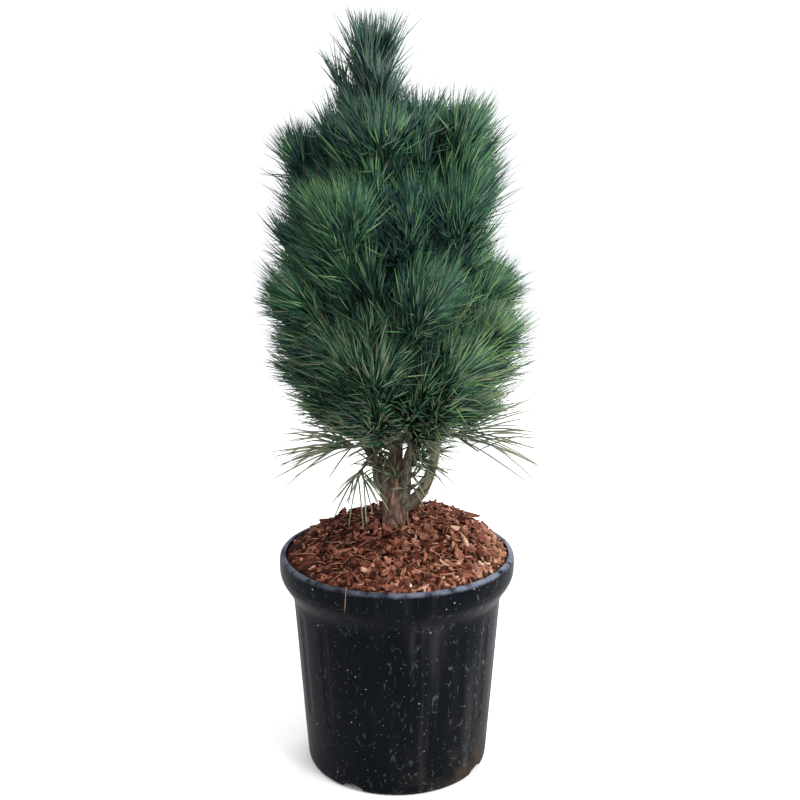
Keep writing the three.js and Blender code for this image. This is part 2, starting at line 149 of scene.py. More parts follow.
# %% [markdown]
# ## Maths on a material's sockets
#
# A finish is a small net of nodes. Written link by link it is hard to read, so one class wraps a
# socket and lets Python's own signs add the Math nodes: `dust * 0.4 + 0.35` becomes two nodes.
# Every other node comes from the method `node`, which sets the node up first and then its sockets.

# %% The wire class
class Wire:
    """A node's output that can be added to, taken from and multiplied like a number."""

    def __init__(self, tree, socket=None):
        self.tree = tree
        self.socket = socket

    def node(self, kind, settings, values, out=0):
        """A new node: its settings come first, then the values or wires of its sockets."""
        made = self.tree.nodes.new("ShaderNode" + kind)
        for key, value in settings.items():
            if key == "stops":
                ramp = made.color_ramp.elements
                while len(ramp) < len(value):
                    ramp.new(1)
                for element, (position, colour) in zip(ramp, value):
                    element.position = position
                    element.color = (*colour, 1)
            else:
                setattr(made, key, value)
        for key, value in values.items():
            if isinstance(value, Wire):
                self.tree.links.new(value.socket, made.inputs[key])
            else:
                made.inputs[key].default_value = value
        return Wire(self.tree, made.outputs[out])

    def maths(self, operation, first, second):
        """first and second joined by one Math node."""
        return self.node("Math", {"operation": operation}, {0: first, 1: second})

    def __add__(self, other):
        return self.maths("ADD", self, other)

    def __sub__(self, other):
        return self.maths("SUBTRACT", self, other)

    def __rsub__(self, other):
        return self.maths("SUBTRACT", other, self)

    def __mul__(self, other):
        return self.maths("MULTIPLY", self, other)

    __radd__ = __add__
    __rmul__ = __mul__

    def ramp(self, *stops):
        """This number looked up among (position, colour) stops."""
        return self.node("ValToRGB", {"stops": stops}, {0: self})

    def between(self, low, high):
        """This number stretched so that low becomes 0 and high becomes 1."""
        settings = {"interpolation_type": "SMOOTHSTEP"}
        return self.node("MapRange", settings, {"Value": self, "From Min": low, "From Max": high})

    def mix(self, first, second):
        """first where this number is 0 and second where it is 1, both colours."""
        values = {0: self, 6: first, 7: second}
        return self.node("Mix", {"data_type": "RGBA"}, values, out=2)

    def place(self, stretch=(1, 1, 1)):
        """The point on the object in metres, stretched."""
        point = self.node("TexCoord", {}, {}, out="Object")
        return self.node("Mapping", {}, {"Vector": point, "Scale": stretch})

    def along(self, axis):
        """How far the point lies along the axis X, Y or Z of the object, in metres."""
        return self.node("SeparateXYZ", {}, {"Vector": self.place()}, out=axis)

    def mark(self, name):
        """A number that `put` kept on the mesh."""
        return self.node("Attribute", {"attribute_name": name}, {}, out="Fac")

    def noise(self, scale, detail, stretch=(1, 1, 1)):
        """Soft noise from 0 to 1 with scale bumps a metre, and finer ones up to the detail."""
        values = {"Vector": self.place(stretch), "Scale": scale}
        return self.node("TexNoise", {}, {**values, "Detail": detail, "Roughness": 0.55})

    def specks(self, scale):
        """The distance from scattered points, scale of them a metre."""
        values = {"Vector": self.place(), "Scale": scale}
        return self.node("TexVoronoi", {}, values, out="Distance")

    def bump(self, height, depth):
        """A normal that stands for a relief of depth millimetres where height runs from 0 to 1."""
        return self.node("Bump", {}, {"Height": height, "Distance": depth * MM})


print("a wire can:", ", ".join(name for name in vars(Wire) if not name.startswith("_")))

# %% A finish from constants and a recipe
def finish(name, constants, recipe=lambda wire: {}):
    """A material: constants go onto the shader's own sockets, recipe gives what varies."""
    material = bpy.data.materials.new(name)
    material.use_nodes = True
    skin = material.node_tree.nodes["Principled BSDF"]
    for socket, value in constants.items():
        skin.inputs[socket].default_value = value
    for socket, wire in recipe(Wire(material.node_tree)).items():
        material.node_tree.links.new(wire.socket, skin.inputs[socket])
    return material


print("finishes so far, all of them the frame's:", len(bpy.data.materials))

# %% [markdown]
# ## The pot
#
# The pot is blown polyethylene: one thin skin that was pressed out against a mould, so every corner
# is soft and shallow flutes stiffen the wall. It could be spun from a profile with a Screw
# modifier, but then the flutes would need a second tool. Here the wall is a function of bearing and
# place on the profile, and the flutes are a term in the radius. The drain notches are cut last.

# %% The pot's profile
POT_HEIGHT = 320
RIM_RADIUS = 170
LIP_RADIUS = 161
LIP_THICKNESS = 4
POT_WALL = 2.6
POT_FLOOR = 4
PROFILE_STEP = 6


def rounded(corners):
    """A run of points with each corner cut, at a quarter and three quarters of its sides."""
    first, second = corners[:-1], corners[1:]
    cut = np.stack([0.75 * first + 0.25 * second, 0.25 * first + 0.75 * second], 1)
    return np.concatenate([corners[:1], cut.reshape(-1, 2), corners[-1:]])


def gaps(line):
    """The distance from each point of a line to the next."""
    return np.linalg.norm(np.diff(line, axis=0), axis=1)


def distances(line):
    """How far along a line each of its points lies."""
    return np.concatenate([[0], np.cumsum(gaps(line))])


def points_at(line, spots):
    """The points at some distances along a line."""
    return np.stack([np.interp(spots, distances(line), axis) for axis in line.T], -1)


def evened(line, step):
    """The same run of points with more put in, so that none is further than step from the next."""
    along = distances(line)
    spots = np.union1d(along, np.arange(step, along[-1], step))
    return points_at(line, spots[np.concatenate([[True], np.diff(spots) > 0.05])])


# radius and height of each corner
outer = [(120, 0), (128, 0), (131.5, 2.5), (133.2, 10), (136, 50), (146.5, 200), (149.6, 243)]
outer += [(150.5, 253), (153, 262), (158.5, 271), (164.5, 280), (168.2, 288), (168.6, 291.5)]
outer += [(169.4, 292.5), (169.9, 300), (RIM_RADIUS, 311), (169, 317.5), (164.5, POT_HEIGHT)]
lip = [(LIP_RADIUS + 1.4, POT_HEIGHT), (LIP_RADIUS, 319.2), (LIP_RADIUS, 318)]
lip += [(LIP_RADIUS + 2, 317.2)]
under_lip = POT_HEIGHT - LIP_THICKNESS
inner = [(radius - POT_WALL, min(height, under_lip)) for radius, height in outer[4:-1]][::-1]
inner += [(130.5, 10), (127, POT_FLOOR), (110, POT_FLOOR)]
pot_line = evened(rounded(np.array(outer + lip + inner, float)), PROFILE_STEP)
print("points on the profile:", len(pot_line))

# %% [markdown]
# The flutes run down the wall as shallow grooves with round ends. They could be carved with a
# Boolean, which leaves sharp edges, or with a displacement picture. As a term in the radius they
# stay soft and need no extra faces: the depth of a groove is worked out from the distance to its
# middle line, measured on the unrolled wall.

# %% The pot's wall
FLUTE_COUNT = 18
FLUTE_BEARING = -93
FLUTE_FOOT = 97
FLUTE_TOP = (252, 240)  # the grooves grow from nothing at the first height to full at the second
FLUTE_WALL_RADIUS = 151  # the wall within this radius has the grooves
FLUTE_HALF_WIDTH = 7
FLUTE_SOFTNESS = 1.6
FLUTE_DEPTH = 0.75
POT_COLUMNS = 360


def flute_depth(bearing, radius, height):
    """Depth times a smooth step of the distance from the nearest flute's middle line."""
    pitch = TURN / FLUTE_COUNT
    off = (bearing - math.radians(FLUTE_BEARING) + pitch / 2) % pitch - pitch / 2
    distance = np.hypot(off * radius, np.maximum(0, FLUTE_FOOT - height))
    edges = FLUTE_HALF_WIDTH + FLUTE_SOFTNESS, FLUTE_HALF_WIDTH - FLUTE_SOFTNESS
    wall = smooth(*FLUTE_TOP, height) * (radius < FLUTE_WALL_RADIUS)
    return FLUTE_DEPTH * smooth(*edges, distance) * wall


def pot_surface():
    """x, y = (radius - flute + sag) (cos, sin) of the bearing, z = height, along the profile. The
    sag is an oval of half a millimetre, as the thin wall gives way to the soil."""
    bearing = np.arange(POT_COLUMNS) * TURN / POT_COLUMNS
    radius, height = pot_line[:, :1], pot_line[:, 1:]
    depth = flute_depth(bearing, radius, height)
    sag = 0.5 * np.sin(2 * bearing + 0.7) * smooth(20, 150, height) * smooth(320, 250, height)
    across = radius - depth + sag
    grid = np.stack([across * np.cos(bearing), across * np.sin(bearing), height + 0 * bearing], -1)
    ends = np.array([[0, 0, pot_line[0, 1]], [0, 0, pot_line[-1, 1]]])
    return np.concatenate([grid.reshape(-1, 3), ends]), tube_faces(len(pot_line), POT_COLUMNS)


print("deepest flute:", flute_depth(math.radians(FLUTE_BEARING), 140, 200))

# %% [markdown]
# Old nursery pots are never plain black. Rain has left pale streaks of lime, splashes have dried to
# specks, and dust gathers low down. The pale blue in patches on the flat top of the lip is a
# painted reflection of the sky there. A painted picture could show all of it, but would blur up
# close. So the streaks are noise stretched along the height, the specks are cells of which only the
# middle shows, and a second noise decides which specks are there at all. The weather side, on the
# right, has more of everything.

# %% The pot's finish
def pot_recipe(wire):
    """Near black with a blue cast, under streaks, specks, low dust and a painted reflection on the
    lip.
    """
    height, weather = wire.along("Z"), wire.along("X").between(-0.1, 0.12)
    streak = wire.noise(38, 4, (1, 1, 0.05)).between(0.46, 0.74)
    veil = streak * wire.noise(9, 2, (1, 1, 0.6)).between(0.36, 0.62) * (weather * 0.8 + 0.2)
    splash = wire.noise(190, 1).between(0.46, 0.56)
    speck = (1 - wire.specks(150).between(0.06, 0.15)) * splash
    crumb = (1 - wire.specks(50).between(0.04, 0.09)) * wire.noise(70, 1).between(0.48, 0.53)
    wander = wire.noise(75, 2, (1, 1, 0.5)) - 0.5
    broken = wire.noise(150, 1, (1, 1, 0.5)).between(0.52, 0.64)
    trickle = (1 - (wander * wander).between(0.0001, 0.0006)) * broken
    low = 1 - height.between(0.02, 0.13)
    dust = wire.noise(24, 5).between(0.42, 0.7) * low * wire.along("X").between(-0.02, 0.14)
    # painted reflection: a pale blue sheen in patches on the lip's flat top, stronger on the right
    painted_lip_sheen = height.between(0.3135, 0.319) * wire.noise(45, 4).between(0.3, 0.6)
    base = wire.noise(12, 2).mix((0.0012, 0.0019, 0.0034, 1), (0.0028, 0.004, 0.0062, 1))
    worn = (veil * 0.4).mix(base, (0.052, 0.05, 0.05, 1))
    streaked = (trickle * (weather * 0.4 + 0.2)).mix(worn, (0.07, 0.08, 0.085, 1))
    dusty = (dust * 0.33).mix(streaked, (0.12, 0.085, 0.055, 1))
    dotted = (speck * 0.5).mix(dusty, (0.24, 0.25, 0.25, 1))
    crumbled = (crumb * 0.6).mix(dotted, (0.32, 0.29, 0.24, 1))
    # the lip's painted reflection goes over everything else
    lip_sheen_strength = painted_lip_sheen * (weather * 0.6 + 0.4) * 0.85
    colour = lip_sheen_strength.mix(crumbled, (0.165, 0.185, 0.245, 1))
    rough = veil * 0.2 + dust * 0.3 + 0.38
    skin = wire.noise(420, 2) * 0.3 + wire.noise(30, 2, (1, 1, 0.25))
    return {"Base Color": colour, "Roughness": rough, "Normal": wire.bump(skin, 0.5)}


pot_plastic = finish("black_polyethylene", {"Specular IOR Level": 0.03}, pot_recipe)
print("nodes in the pot's finish:", len(pot_plastic.node_tree.nodes))

# %% Make the pot and cut its drain notches
DRAIN_BEARINGS = 241 + 90 * np.arange(4)
DRAIN_HALF_WIDTH = 17.5
DRAIN_HEIGHT = 10
DRAIN_SPAN = (116.0, 150.0)  # how far from the axis each arch starts and ends


def repeated(faces, count, points_each):
    """The faces of one small shape for count copies of it, whose points follow one another."""
    return (faces + points_each * np.arange(count)[:, None, None]).reshape(-1, 3)


def drain_cutter():
    """Four arches, as prisms along X: |y| = w sqrt(1 - (z / h)^4) up to the height h, turned."""
    share = np.linspace(-1, 1, 17)
    half = DRAIN_HALF_WIDTH * np.sqrt(np.clip(1 - np.abs(share) ** 4, 0, 1))
    arch = np.stack([half, DRAIN_HEIGHT * share], -1)
    arch = np.concatenate([arch, -arch[1:-1]])
    sides = len(arch)
    ring = np.concatenate([np.column_stack([np.full(sides, out), arch]) for out in DRAIN_SPAN])
    turn = np.radians(DRAIN_BEARINGS)[:, None]
    c, s = np.cos(turn), np.sin(turn)
    x, y = ring[:, 0] * c - ring[:, 1] * s, ring[:, 0] * s + ring[:, 1] * c
    points = np.stack([x, y, np.broadcast_to(ring[:, 2], x.shape)], -1)
    middles = np.stack([points[:, :sides].mean(1), points[:, sides:].mean(1)], 1)
    faces = repeated(tube_faces(2, sides), len(DRAIN_BEARINGS), 2 * sides + 2)
    return np.concatenate([points, middles], 1).reshape(-1, 3), faces


pot = put("pot_shell", *pot_surface(), "pot", [pot_plastic])
cutter = put("drain_cutter", *drain_cutter(), "pot", [pot_plastic])
notch = pot.modifiers.new("notches", "BOOLEAN")
notch.object = cutter
notch.solver = "EXACT"
bpy.context.view_layer.update()
depsgraph = bpy.context.evaluated_depsgraph_get()
cut_mesh = bpy.data.meshes.new_from_object(pot.evaluated_get(depsgraph))
pot.modifiers.clear()
pot.data = cut_mesh
bpy.data.objects.remove(cutter)
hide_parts("pot")
print("faces after the cut, which took the cutter away again:", len(pot.data.polygons))

# %% [markdown]
# ## The growing medium
#
# Below the chips lies composted bark. Only a little of it shows, through the drain notches, and its
# CAD solid already has the right shape, so it stays and gets a finish: dark, moist and crumbly.

# %% The growing medium's finish
DAMP = {"Roughness": 0.95, "Specular IOR Level": 0.05}


def crumbly(scale, dark, light, light_from, depth):
    """Two browns mixed by crumbs, scale of them a metre, which also roughen the surface."""
    def recipe(wire):
        crumbs = wire.noise(scale, 5)
        colour = crumbs.ramp((0.35, dark), (light_from, light))
        return {"Base Color": colour, "Normal": wire.bump(crumbs, depth)}
    return recipe


medium_recipe = crumbly(260, (0.012, 0.008, 0.005), (0.07, 0.042, 0.024), 0.7, 2)
medium = finish("composted_bark", DAMP, medium_recipe)
medium_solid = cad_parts["growing_medium"]
medium_solid.data.materials.clear()
medium_solid.data.materials.append(medium)

# %% [markdown]
# ## The heap of bark mulch
#
# Mulch is graded bark: flat, broken chips about 15 mm long that lie over each other at all angles,
# with a few straws between them. A bumpy surface with a picture of chips would look flat from the
# side. So there is a dark bed, and on it more than three thousand chips, each a small bent slab
# with a ragged outline of its own, all made in one array.

# %% The bed under the chips
MULCH_RADIUS = 159.6
MULCH_EDGE_HEIGHT = 320
MULCH_RISE = 45
MULCH_FALL = 2.2
MULCH_TILT = 0.5
BED_RINGS = 60
BED_COLUMNS = 160
BED_BELOW = 5  # how far the bed lies under the tops of the chips
BED_SKIRT = 14
rng = np.random.default_rng(2024)


def heap_height(x, y):
    """edge + rise (1 - share^fall) (1 + tilt (x + y) / radius), share from the axis to the wall."""
    share = np.minimum(1, np.hypot(x, y) / MULCH_RADIUS)
    tilt = 1 + MULCH_TILT * (x + y) / MULCH_RADIUS
    return MULCH_EDGE_HEIGHT + MULCH_RISE * (1 - share ** MULCH_FALL) * tilt


def bed_surface():
    """The heap lowered a little, with lumps that die out at the wall, on rings round the axis."""
    radius = np.linspace(4, MULCH_RADIUS, BED_RINGS)[::-1, None]
    bearing = np.arange(BED_COLUMNS) * TURN / BED_COLUMNS
    x, y = radius * np.cos(bearing), radius * np.sin(bearing)
    lump = 2.2 * np.sin(x / 7 + 1) * np.sin(y / 6) + 1.4 * np.sin((x - y) / 3.7)
    z = heap_height(x, y) - BED_BELOW + lump * smooth(1, 0.8, radius / MULCH_RADIUS)
    skirt = np.stack([x[0], y[0], z[0] - BED_SKIRT], -1)
    top = np.stack([x, y, z], -1).reshape(-1, 3)
    points = np.concatenate([skirt, top, [[0, 0, z[-1].mean()]]])
    return points, tube_faces(BED_RINGS + 1, BED_COLUMNS, closed_foot=False)


bed_recipe = crumbly(180, (0.012, 0.006, 0.004), (0.09, 0.038, 0.018), 0.75, 3)
put("mulch_bed", *bed_surface(), "bark_mulch", [finish("damp_fines", DAMP, bed_recipe)])

# %% [markdown]
# A chip is nearly black where it was the outer bark, orange where it is freshly torn, and greys
# with age. One finish could vary by a random number for each chip, but that number is lost when the
# chips are one mesh. So there are seven finishes, dealt out chip by chip, and noise varies each of
# them along the grain. The dealing also holds painted light and shade: chips on the left get darker
# finishes, those to the right and the front lighter ones.

# %% The chips' finishes
CHIP_COLOURS = {
    "chip_black_brown": (0.022, 0.006, 0.004),
    "chip_dark_red": (0.070, 0.018, 0.010),
    "chip_red_brown": (0.130, 0.042, 0.026),
    "chip_russet": (0.205, 0.080, 0.049),
    "chip_orange": (0.310, 0.140, 0.086),
    "chip_tan": (0.430, 0.260, 0.185),
    "chip_white": (0.750, 0.720, 0.680),
}


def chip_recipe(colour):
    """The colour darkened and lightened along fine grain, and by larger stains."""
    def recipe(wire):
        grain = wire.noise(900, 3, (1, 0.25, 1)) * 0.6 + wire.noise(160, 2) * 0.4
        dark = tuple(0.42 * c for c in colour)
        light = tuple(min(1, 1.5 * c) for c in colour)
        stops = (0.3, dark), (0.5, colour), (0.7, light)
        return {"Base Color": grain.ramp(*stops), "Normal": wire.bump(grain, 0.6)}
    return recipe


chip_finishes = [
    finish(name, {"Roughness": 0.82, "Specular IOR Level": 0.1}, chip_recipe(colour))
    for name, colour in CHIP_COLOURS.items()
]
print("chip finishes:", len(chip_finishes))

# %% The shape of a chip
CHIP_COUNT = 3400
CHIP_CORNERS = 7
SHRED_SHARE = 0.35
# half length, half width and half thickness of a shred and of a flake, and how much they vary
CHIP_SIZES = [(11, 9, 0.7, 1.15), (1.2, 3.9, 0.6, 1.3), (0.5, 0.9, 0.6, 1.3)]
CHIP_GRADES, GRADE_SHARES = [0.5, 0.75, 1.0, 1.3], [0.3, 0.32, 0.28, 0.1]


def chip_points(count):
    """Ragged slabs: outline (l cos a, w sin a) times a ragged share, curled by k x^2 and twisted
    by t x y. The top is a little smaller than the underside, and shifted."""
    uneven = rng.uniform(-0.3, 0.3, (count, CHIP_CORNERS))
    angle = (np.arange(CHIP_CORNERS) + uneven) * TURN / CHIP_CORNERS
    ragged = rng.uniform(0.75, 1.12, (count, CHIP_CORNERS))
    shred = rng.uniform(0, 1, (count, 1)) < SHRED_SHARE
    size = rng.choice(CHIP_GRADES, (count, 1), p=GRADE_SHARES)
    length, width, thick = (
        np.where(shred, of_shred, of_flake) * size * rng.uniform(low, high, (count, 1))
        for of_shred, of_flake, low, high in CHIP_SIZES
    )
    x, y = length * ragged * np.cos(angle), width * ragged * np.sin(angle)
    curl = rng.uniform(-0.03, 0.045, (count, 1)) * x ** 2
    curl = curl + rng.uniform(-0.05, 0.05, (count, 1)) * x * y
    top = np.stack([0.86 * x, 0.86 * y, curl + thick], -1)
    top[:, :, :2] += rng.uniform(-0.8, 0.8, (count, 1, 2))
    low = np.stack([x, y, curl - thick], -1)
    return np.concatenate([top, low], 1)


def chip_faces():
    """Two seven-cornered fans and a band of quads split in two."""
    top = np.arange(CHIP_CORNERS)
    low = top + CHIP_CORNERS
    low_after, top_after = np.roll(low, -1), np.roll(top, -1)
    fan = np.stack([0 * top[2:], top[1:-1], top[2:]], -1)
    band = [np.stack([low, low_after, top_after], -1), np.stack([low, top_after, top], -1)]
    return np.concatenate([fan, fan[:, ::-1] + CHIP_CORNERS, *band])


print("triangles of a chip:", len(chip_faces()))

# %% Lay the chips
CHIP_REACH = 156
WALL_REACH = 160
EDGE = 158  # from here inwards the chips begin to tilt and to lie at several heights
TRUNK_SPOT = (-3, 0)
TRUNK_CLEARANCE = 21
WHITE_CHIP_PLACE = (18, -143)


def basis(normal, turn, steep=0.9):
    """Two unit vectors across each normal, turned round it, and the normal itself. The first is
    level, unless the normal is steeper than steep."""
    helper = np.where(np.abs(normal[:, 2:]) < steep, [[0.0, 0, 1]], [[1.0, 0, 0]])
    side = unit(np.cross(helper, normal))
    other = np.cross(normal, side)
    c, s = np.cos(turn)[:, None], np.sin(turn)[:, None]
    return side * c + other * s, other * c - side * s, normal


def laid_chips(count):
    """Chips turned to lie on the heap's slope, tilted at random, none through the wall."""
    out = CHIP_REACH * np.sqrt(rng.uniform(0, 1, count))
    place = polar(np.degrees(rng.uniform(0, TURN, count)), out, 0.0)
    x, y = place[:, 0], place[:, 1]
    slope_x = (heap_height(x + 1, y) - heap_height(x - 1, y)) / 2
    slope_y = (heap_height(x, y + 1) - heap_height(x, y - 1)) / 2
    lie = np.stack([-slope_x, -slope_y, np.ones(count)], -1)
    tilt = rng.normal(0, 0.5, (count, 3)) * [1, 1, 0] * smooth(EDGE, 100, out)[:, None]
    axes = basis(unit(lie + tilt), rng.uniform(0, TURN, count))
    place[:, 2] = heap_height(x, y) - 3 + rng.uniform(-1.5, 5.5, count) * smooth(EDGE, 110, out)
    local = chip_points(count)
    world = sum(local[:, :, k:k + 1] * axis[:, None] for k, axis in enumerate(axes))
    world += place[:, None]
    reach = np.hypot(world[:, :, 0], world[:, :, 1]).max(1)
    back = np.where(reach > WALL_REACH, (WALL_REACH - reach) / np.maximum(out, 1), 0)
    world[:, :, :2] += (place[:, :2] * back[:, None])[:, None]
    return world


chips = laid_chips(CHIP_COUNT)
chips = chips[np.hypot(*(chips.mean(1)[:, :2] - TRUNK_SPOT).T) > TRUNK_CLEARANCE]
middle = chips.mean(1)
# painted light and shade: chips on the left get darker finishes, those to the right and front
# lighter
painted_side_light = 0.40 + 0.24 * middle[:, 0] / MULCH_RADIUS - 0.06 * middle[:, 1] / MULCH_RADIUS
chip_tone = np.clip(((painted_side_light + rng.normal(0, 0.23, len(chips))) * 6).astype(int), 0, 5)
chip_tone[np.argmin(np.linalg.norm(middle[:, :2] - WHITE_CHIP_PLACE, axis=1))] = 6
one_chip = chip_faces()
faces = repeated(one_chip, len(chips), 2 * CHIP_CORNERS)
tones = np.repeat(chip_tone, len(one_chip))
chip_piece = put("bark_chips", chips.reshape(-1, 3), faces, "bark_mulch", chip_finishes, tones)
chip_piece.data.polygons.foreach_set("use_smooth", np.zeros(len(faces), bool))
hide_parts("bark_mulch")

# %% [markdown]
# Between the chips lie straws: thin strips of inner bark that curl up out of the heap, and one that
# hangs over the front of the rim. A bevelled curve would do for a few of them, but the pine's
# needles have the same form, and there are too many of those for curves. So both are blades:
# three-sided rings along a parabola, and a tip.

# %% Blades
def spokes(way, helper, sides):
    """side cos a + other sin a at equal bearings a: unit vectors round each way."""
    side = unit(np.cross(way, helper))
    other = np.cross(way, side)
    turn = np.arange(sides) * TURN / sides
    return side[:, None] * np.cos(turn)[:, None] + other[:, None] * np.sin(turn)[:, None]


def blade_points(root, way, bend, length, radius, ring_share, ring_width):
    """P(s) = root + length (s way + s^2 bend), three points round it at each share, and a tip."""
    s = ring_share[None, :, None]
    spine = root[:, None] + length[:, None, None] * (s * way[:, None] + s ** 2 * bend[:, None])
    wide = (radius[:, None] * ring_width)[:, :, None, None]
    rings = spine[:, :, None] + wide * spokes(way, np.array([0.31, 0.17, 0.93]), 3)[:, None]
    tip = root + length[:, None] * (way + bend)
    return np.concatenate([rings.reshape(len(root), -1, 3), tip[:, None]], 1)


def blade_faces(count, rings):
    """Bands of six triangles and three to the tip, for count blades one after another."""
    return repeated(tube_faces(rings, 3, closed_foot=False), count, 3 * rings + 1)


print("triangles of a needle:", len(blade_faces(1, 2)))

# %% The straws
STRAW_COUNT = 130
STRAW_RADIUS = 0.5
STRAW_SHARE = np.array([0, 0.15, 0.32, 0.5, 0.68, 0.86])
STRAW_WIDTH = np.array([0.5, 0.9, 1, 1, 0.85, 0.6])
# root, way, bend and length of the straw that hangs over the rim
HUNG_STRAW = [(-66, -149, 323), (-0.05, -0.75, 0.45), (0, 0.1, -1.05), 46]


def straw_recipe(wire):
    """Pale tan that turns browner in patches."""
    tan, brown = (0.50, 0.28, 0.15, 1), (0.26, 0.11, 0.055, 1)
    return {"Base Color": wire.noise(90, 2).mix(tan, brown)}


bearing = np.degrees(rng.uniform(0, TURN, STRAW_COUNT))
place = polar(bearing, 30 + 105 * np.sqrt(rng.uniform(0, 1, STRAW_COUNT)), 0.0)
place[:, 2] = heap_height(place[:, 0], place[:, 1]) + rng.uniform(0, 2.5, STRAW_COUNT)
turn = rng.uniform(0, TURN, STRAW_COUNT)
rise = rng.uniform(0.05, 0.6, STRAW_COUNT)
straw_way = unit(np.stack([np.cos(turn), np.sin(turn), rise], -1))
straw_bend = rng.normal(0, 0.35, (STRAW_COUNT, 3)) * [1, 1, 0] - [0, 0, 0.4]
straw_length = rng.uniform(12, 34, STRAW_COUNT)
parts = zip((place, straw_way, straw_bend), HUNG_STRAW)
root, way, bend = (np.vstack([loose, np.array(hung, float)]) for loose, hung in parts)
length = np.append(straw_length, HUNG_STRAW[3])
thick = np.full(len(length), STRAW_RADIUS)
points = blade_points(root, way, bend, length, thick, STRAW_SHARE, STRAW_WIDTH)
faces = blade_faces(len(length), len(STRAW_SHARE))
straw_finish = finish("straw", {"Roughness": 0.8}, straw_recipe)
put("straws", points.reshape(-1, 3), faces, "bark_mulch", [straw_finish])

# %% [markdown]
# ## The limbs
#
# The rule that places the boughs and the masses of foliage is the same one that the CAD solids were
# grown by, with the same seeds, so each shoot below starts where its solid does. A limb could be a
# skinned edge or a bevelled curve. Here it is a tapering tube along a smooth curve, so that the
# bark's relief can be a term in its radius. First come the named sizes and the curve itself.

# %% The plan of the plant
SEAT_HEIGHT = 328
TRUNK_LINE = [(-2, 0, 320), (-3, 0, 400), (-2, 2, 500), (-9, 2, 650), (-16, 0, 800), (-27, 0, 880)]
BOUGH_SHARE = 0.56
SLIM_SHARE = 0.3
SMALL_TUFT = 35  # a mass under this radius is sparse and has a slim bough
BOUGH_TIP_RADIUS = 3.6
STEM_LENGTH = 16
RUN_IN = 14

# name: bearing, distance from the axis, height, radius, lean, needle angle, twigs, fork height
TUFTS = {
    "leader": (180, 34, 946, 48, 0, 17, 5, 0),
    "neck_front": (-118, 50, 846, 44, 6, 22, 4, 760),
    "neck_left": (164, 72, 848, 40, 4, 22, 4, 740),
    "neck_right": (50, 48, 846, 40, 9, 24, 4, 770),
    "upper_right": (-8, 82, 844, 46, 4, 22, 5, 720),
    "upper_right_back": (48, 88, 780, 48, 16, 26, 4, 690),
    "upper_left": (176, 112, 816, 44, 3, 22, 5, 690),
    "upper_back": (108, 84, 800, 48, 16, 28, 3, 690),
    "brow_left": (-176, 106, 728, 46, 18, 28, 4, 620),
    "brow_front": (-132, 86, 748, 52, 12, 26, 5, 640),
    "brow_right": (-28, 92, 754, 46, 14, 26, 4, 650),
    "heart_front": (-62, 44, 742, 44, 8, 26, 4, 660),
    "middle_right": (6, 92, 652, 48, 18, 28, 4, 590),
    "middle_front": (-80, 84, 650, 52, 18, 30, 5, 550),
    "middle_left": (-166, 102, 658, 48, 26, 28, 4, 560),
    "middle_back_left": (130, 90, 690, 48, 26, 30, 3, 570),
    "middle_back_right": (72, 90, 662, 48, 26, 30, 3, 565),
    "low_right": (-18, 100, 600, 48, 34, 28, 4, 380),
    "low_front": (-112, 78, 566, 48, 34, 30, 5, 470),
    "low_left": (184, 92, 578, 46, 34, 28, 4, 372),
    "low_front_right": (-54, 80, 560, 46, 38, 30, 4, 385),
    "low_back_left": (132, 88, 576, 48, 40, 30, 3, 470),
    "low_back_right": (46, 88, 570, 48, 40, 30, 3, 475),
    "fringe_left": (204, 64, 482, 26, 97, 32, 3, 446),
    "fringe_right": (4, 82, 492, 30, 90, 28, 3, 446),
    "fringe_back": (90, 66, 502, 28, 80, 32, 3, 455),
    "foot": (207, 56, 448, 14, 140, 36, 2, 404),
}
BOUGH_VIA = {
    "low_left": [(-12, -2, 395), (-27, -3, 445), (-52, -5, 495)],
    "low_right": [(22, -4, 394), (41, -7, 420), (51, -9, 452), (58, -12, 490)],
    "low_front_right": [(9, -9, 400), (15, -12, 455)],
}
names = list(TUFTS)
table = np.array(list(TUFTS.values()), float)
hubs = polar(table[:, 0], table[:, 1], table[:, 2])
leans = np.radians(table[:, 4])
axes = polar(table[:, 0], np.sin(leans), np.cos(leans))
radii, angles = table[:, 3], np.radians(table[:, 5])
twig_counts, forks = table[:, 6].astype(int), table[:, 7]
roots = hubs - STEM_LENGTH * axes
run_ins = roots - RUN_IN * axes
print("masses of foliage:", len(names))

# %% A smooth curve through points
CUBIC_STEPS = 60


def curve(points, steps):
    """Centripetal Catmull-Rom: a cubic between each two points, its slopes weighted by the square
    roots of the distances, then read off at steps even shares of its length."""
    p = np.array(points, float)
    p = np.concatenate([[2 * p[0] - p[1]], p, [2 * p[-1] - p[-2]]])
    gap = np.sqrt(gaps(p))[:, None]
    a, b, c, d = p[:-3], p[1:-2], p[2:-1], p[3:]
    before, here, after = gap[:-2], gap[1:-1], gap[2:]
    leave = ((b - a) / before - (c - a) / (before + here) + (c - b) / here) * here
    arrive = ((c - b) / here - (d - b) / (here + after) + (d - c) / after) * here
    t = np.linspace(0, 1, CUBIC_STEPS, endpoint=False)[:, None, None]
    square, cube = 3 * (c - b) - 2 * leave - arrive, 2 * (b - c) + leave + arrive
    cubic = b + leave * t + square * t ** 2 + cube * t ** 3
    line = np.concatenate([cubic.transpose(1, 0, 2).reshape(-1, 3), p[-2:-1]])
    return points_at(line, np.linspace(0, distances(line)[-1], steps))


CURVE_STEPS = 241
trunk_line = curve([*TRUNK_LINE, run_ins[0], roots[0]], CURVE_STEPS)
TRUNK_FOOT, TRUNK_RISE = trunk_line[0, 2], trunk_line[-1, 2] - trunk_line[0, 2]
print("length of the trunk:", round(gaps(trunk_line).sum()))

# %% The trunk's taper, and the boughs
TRUNK_RADII = 12, 3.4
BOUGH_STEPS = 61
BEND_OUT, BEND_UP = 0.65, 0.35  # where a bough bends, as shares of its reach and of its rise


